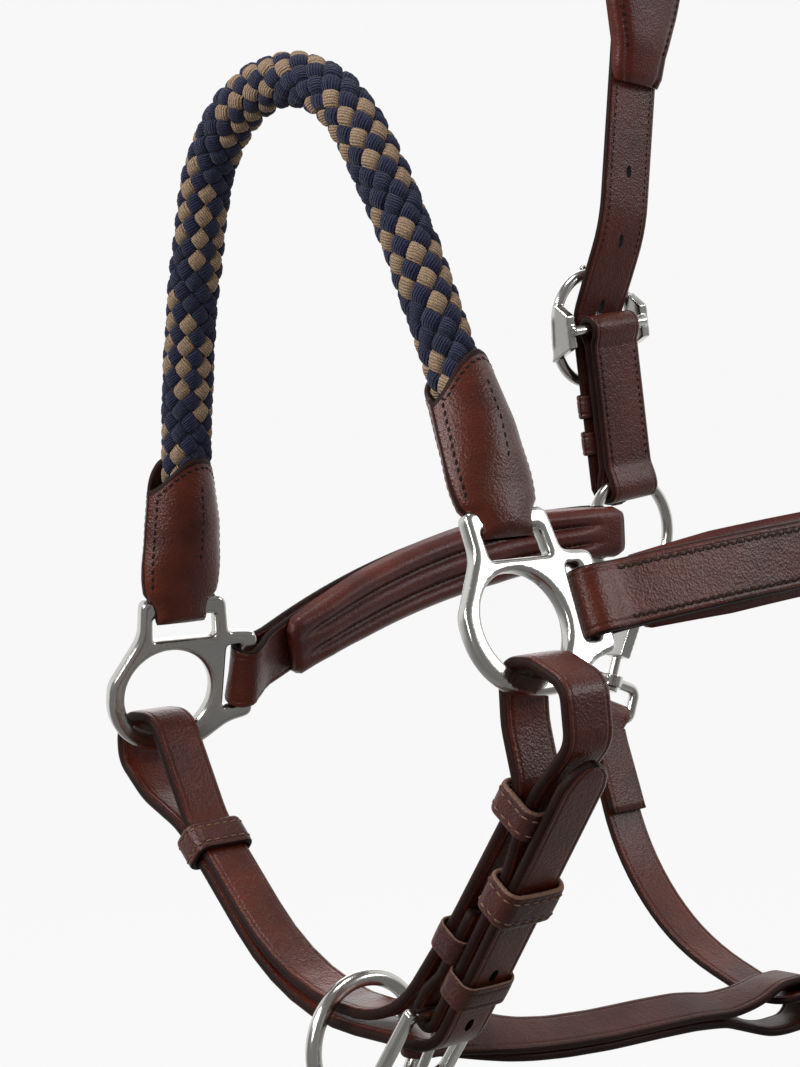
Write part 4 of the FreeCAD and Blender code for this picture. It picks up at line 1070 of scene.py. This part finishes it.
def crown_keeper(name, side, place, drop):
    centre = crown_bar(side) + Vector((side * BILLET_OUT, 0, 0)) - CHAPE_UP * drop
    keeper("%s_crown_%s_loop" % (name, place), "headcollar", centre, Vector((side, 0, 0)), CHAPE_ACROSS,
           LEATHER + KEEPER_PLAY, CROWN_WIDTH + KEEPER_PLAY, 1.4, 9, False, False,
           "%s_crown_%s_keeper" % (name, place))


# ---------------------------------------------------------------- build

for name, side in SIDES:
    rope_chape(name, side)
    cheek(name, side)
    cheek_lining(name, side)
    crown_chape(name, side)
    crown_keeper(name, side, "upper", 29)
    crown_keeper(name, side, "lower", 43)
    softened(name + "_nose_fitting", 0.4, 22, 0.22)
    softened(name + "_crown_buckle", 0.35, 3)
    softened(name + "_crown_tongue", 0.3, 2)
braided_rope()
chin_strap()
bundle_keeper("near_loop_keeper", "near_loop_keeper", 89.3, 97.2, 24, 10, 2.0, True, True)
bundle_keeper("billet_keeper", "billet_keeper", LAYER_BUCKLE, LAYER_BILLET, -1.6, 12, 2.0, True, True)
bundle_keeper("outer_fixed_keeper", "headcollar", LAYER_BUCKLE, LAYER_BILLET, -36, 9, 1.1, True, False)
bundle_keeper("inner_fixed_keeper", "headcollar", 89.3, LAYER_TURN, -27, 9, 1.1, True, False)
far_out = Vector((-sin(rad(45)), 0, -cos(rad(45))))
keeper("far_loop_keeper_loop", "far_loop_keeper", Vector((-64, 0, -61.4)), far_out, Y, 8.6,
       CHIN_WIDTH + KEEPER_PLAY, 2.0, 10.5, False, True, "far_loop_keeper")
jaw_strap()
throat_strap()
crown_strap()
crown_padding()
softened("chin_buckle", 0.35, 4)
softened("chin_buckle_tongue", 0.3, 2)
softened("snap_body", 0.3, 4)
softened("snap_gate", 0.3, 3)
softened("snap_eye", 0.3, 3)
for name in ("near_side_ring", "far_side_ring", "lead_ring", "snap_pin"):
    data = frame["nodes"][name].data
    data.materials.clear()
    data.materials.append(NICKEL)
    smooth(data)


# ---------------------------------------------------------------- stage, light, camera

# In metres, like everything in this section.
FLOOR, FLAT, BEND = -0.75, 2.3, 1.1
VIEW_BACK, VIEW_UP = Vector((0.768, -0.638, 0.051)), Vector((-0.006, 0.073, 0.997))
CAMERA_AT, AIM = Vector((0.5893, -0.6949, -0.2078)), Vector((0.0, -0.15, -0.2))


def stage_sweep():
    """A round bowl of a studio: pale behind the collar, falling to grey behind the camera."""
    profile = [(0.02, FLOOR), (1.2, FLOOR), (FLAT, FLOOR)]
    profile += [(FLAT + BEND * sin(rad(a)), FLOOR + BEND * (1 - cos(rad(a))))
                for a in range(6, 91, 6)]
    profile += [(FLAT + BEND, FLOOR + 2.6), (FLAT + BEND, FLOOR + 4.4)]
    around = 64
    points = [Vector((r * cos(turn), r * sin(turn), z))
              for r, z in profile for turn in angles(around)]
    data = bpy.data.meshes.new("pale_floor")
    data.from_pydata(points, [], tube(len(profile), around))
    smooth(data)
    material, tree, shade = shader("pale_floor")
    place = tree.nodes.new("ShaderNodeTexCoord").outputs["Object"]
    depth = node(tree, "ShaderNodeVectorMath", operation="DOT_PRODUCT")
    depth.inputs[1].default_value = (-VIEW_BACK.x, -VIEW_BACK.y, 0)
    tree.links.new(place, depth.inputs[0])
    share = node(tree, "ShaderNodeMapRange", From_Min=-1.2, From_Max=1.2)
    tree.links.new(depth.outputs["Value"], share.inputs["Value"])
    greys = [(0.0, 0.22), (0.42, 0.18), (0.93, 0.922)]
    tone = ramp(tree, share.outputs["Result"], [(stop, (grey,) * 3) for stop, grey in greys])
    tree.links.new(tone.outputs["Color"], shade.inputs["Emission Color"])
    put(shade, Base_Color=(0.02, 0.02, 0.02, 1), Roughness=1.0, Specular_IOR_Level=0.0,
        Emission_Strength=1.0)
    data.materials.append(material)
    placed("pale_floor", data)


def area_light(name, position, size, power):
    data = bpy.data.lights.new(name, "AREA")
    data.shape, data.size, data.size_y = "RECTANGLE", size[0], size[1]
    data.energy = power
    obj = placed(name, data)
    obj.location = position
    obj.rotation_euler = (AIM - Vector(position)).to_track_quat("-Z", "Y").to_euler()


def world_light():
    world = bpy.data.worlds.new("soft_studio")
    bpy.context.scene.world = world
    world.use_nodes = True
    tree = world.node_tree
    ground = tree.nodes["Background"]
    direction = tree.nodes.new("ShaderNodeTexCoord").outputs["Generated"]
    parts = tree.nodes.new("ShaderNodeSeparateXYZ")
    tree.links.new(direction, parts.inputs["Vector"])
    shades = [(0.0, (0.10, 0.10, 0.11)), (0.36, (0.12, 0.12, 0.13)), (0.47, (0.50, 0.50, 0.52)),
              (0.53, (0.16, 0.16, 0.17)), (0.60, (0.80, 0.80, 0.82)), (1.0, (0.9, 0.9, 0.92))]
    half = node(tree, "ShaderNodeMapRange", From_Min=-1.0, From_Max=1.0)
    tree.links.new(parts.outputs["Z"], half.inputs["Value"])
    tone = ramp(tree, half.outputs["Result"], shades)
    tree.links.new(tone.outputs["Color"], ground.inputs["Color"])
    put(ground, Strength=0.2)


def camera():
    data = bpy.data.cameras.new("photo_camera")
    data.lens, data.sensor_width, data.sensor_fit = 84.35, 36.0, "AUTO"
    data.clip_start, data.clip_end = 0.01, 60.0
    obj = placed("photo_camera", data)
    back = VIEW_BACK.normalized()
    right = VIEW_UP.cross(back).normalized()
    turn = Matrix((right, back.cross(right), back)).transposed().to_4x4()
    obj.matrix_world = Matrix.Translation(CAMERA_AT) @ turn
    bpy.context.scene.camera = obj


stage_sweep()
camera()
world_light()
area_light("key", (-0.5, -1.9, 1.0), (0.6, 0.7), 24)
area_light("front", (0.45, -1.85, 0.5), (0.3, 1.0), 13)
area_light("side", (1.35, 1.2, 0.5), (0.55, 0.5), 9)
area_light("top", (0.15, -0.1, 1.5), (0.7, 0.7), 13)
area_light("rear", (-1.5, 0.9, 0.4), (1.0, 1.4), 6)
view = bpy.context.scene.view_settings
view.view_transform, view.look, view.exposure = "Standard", "None", 0.0
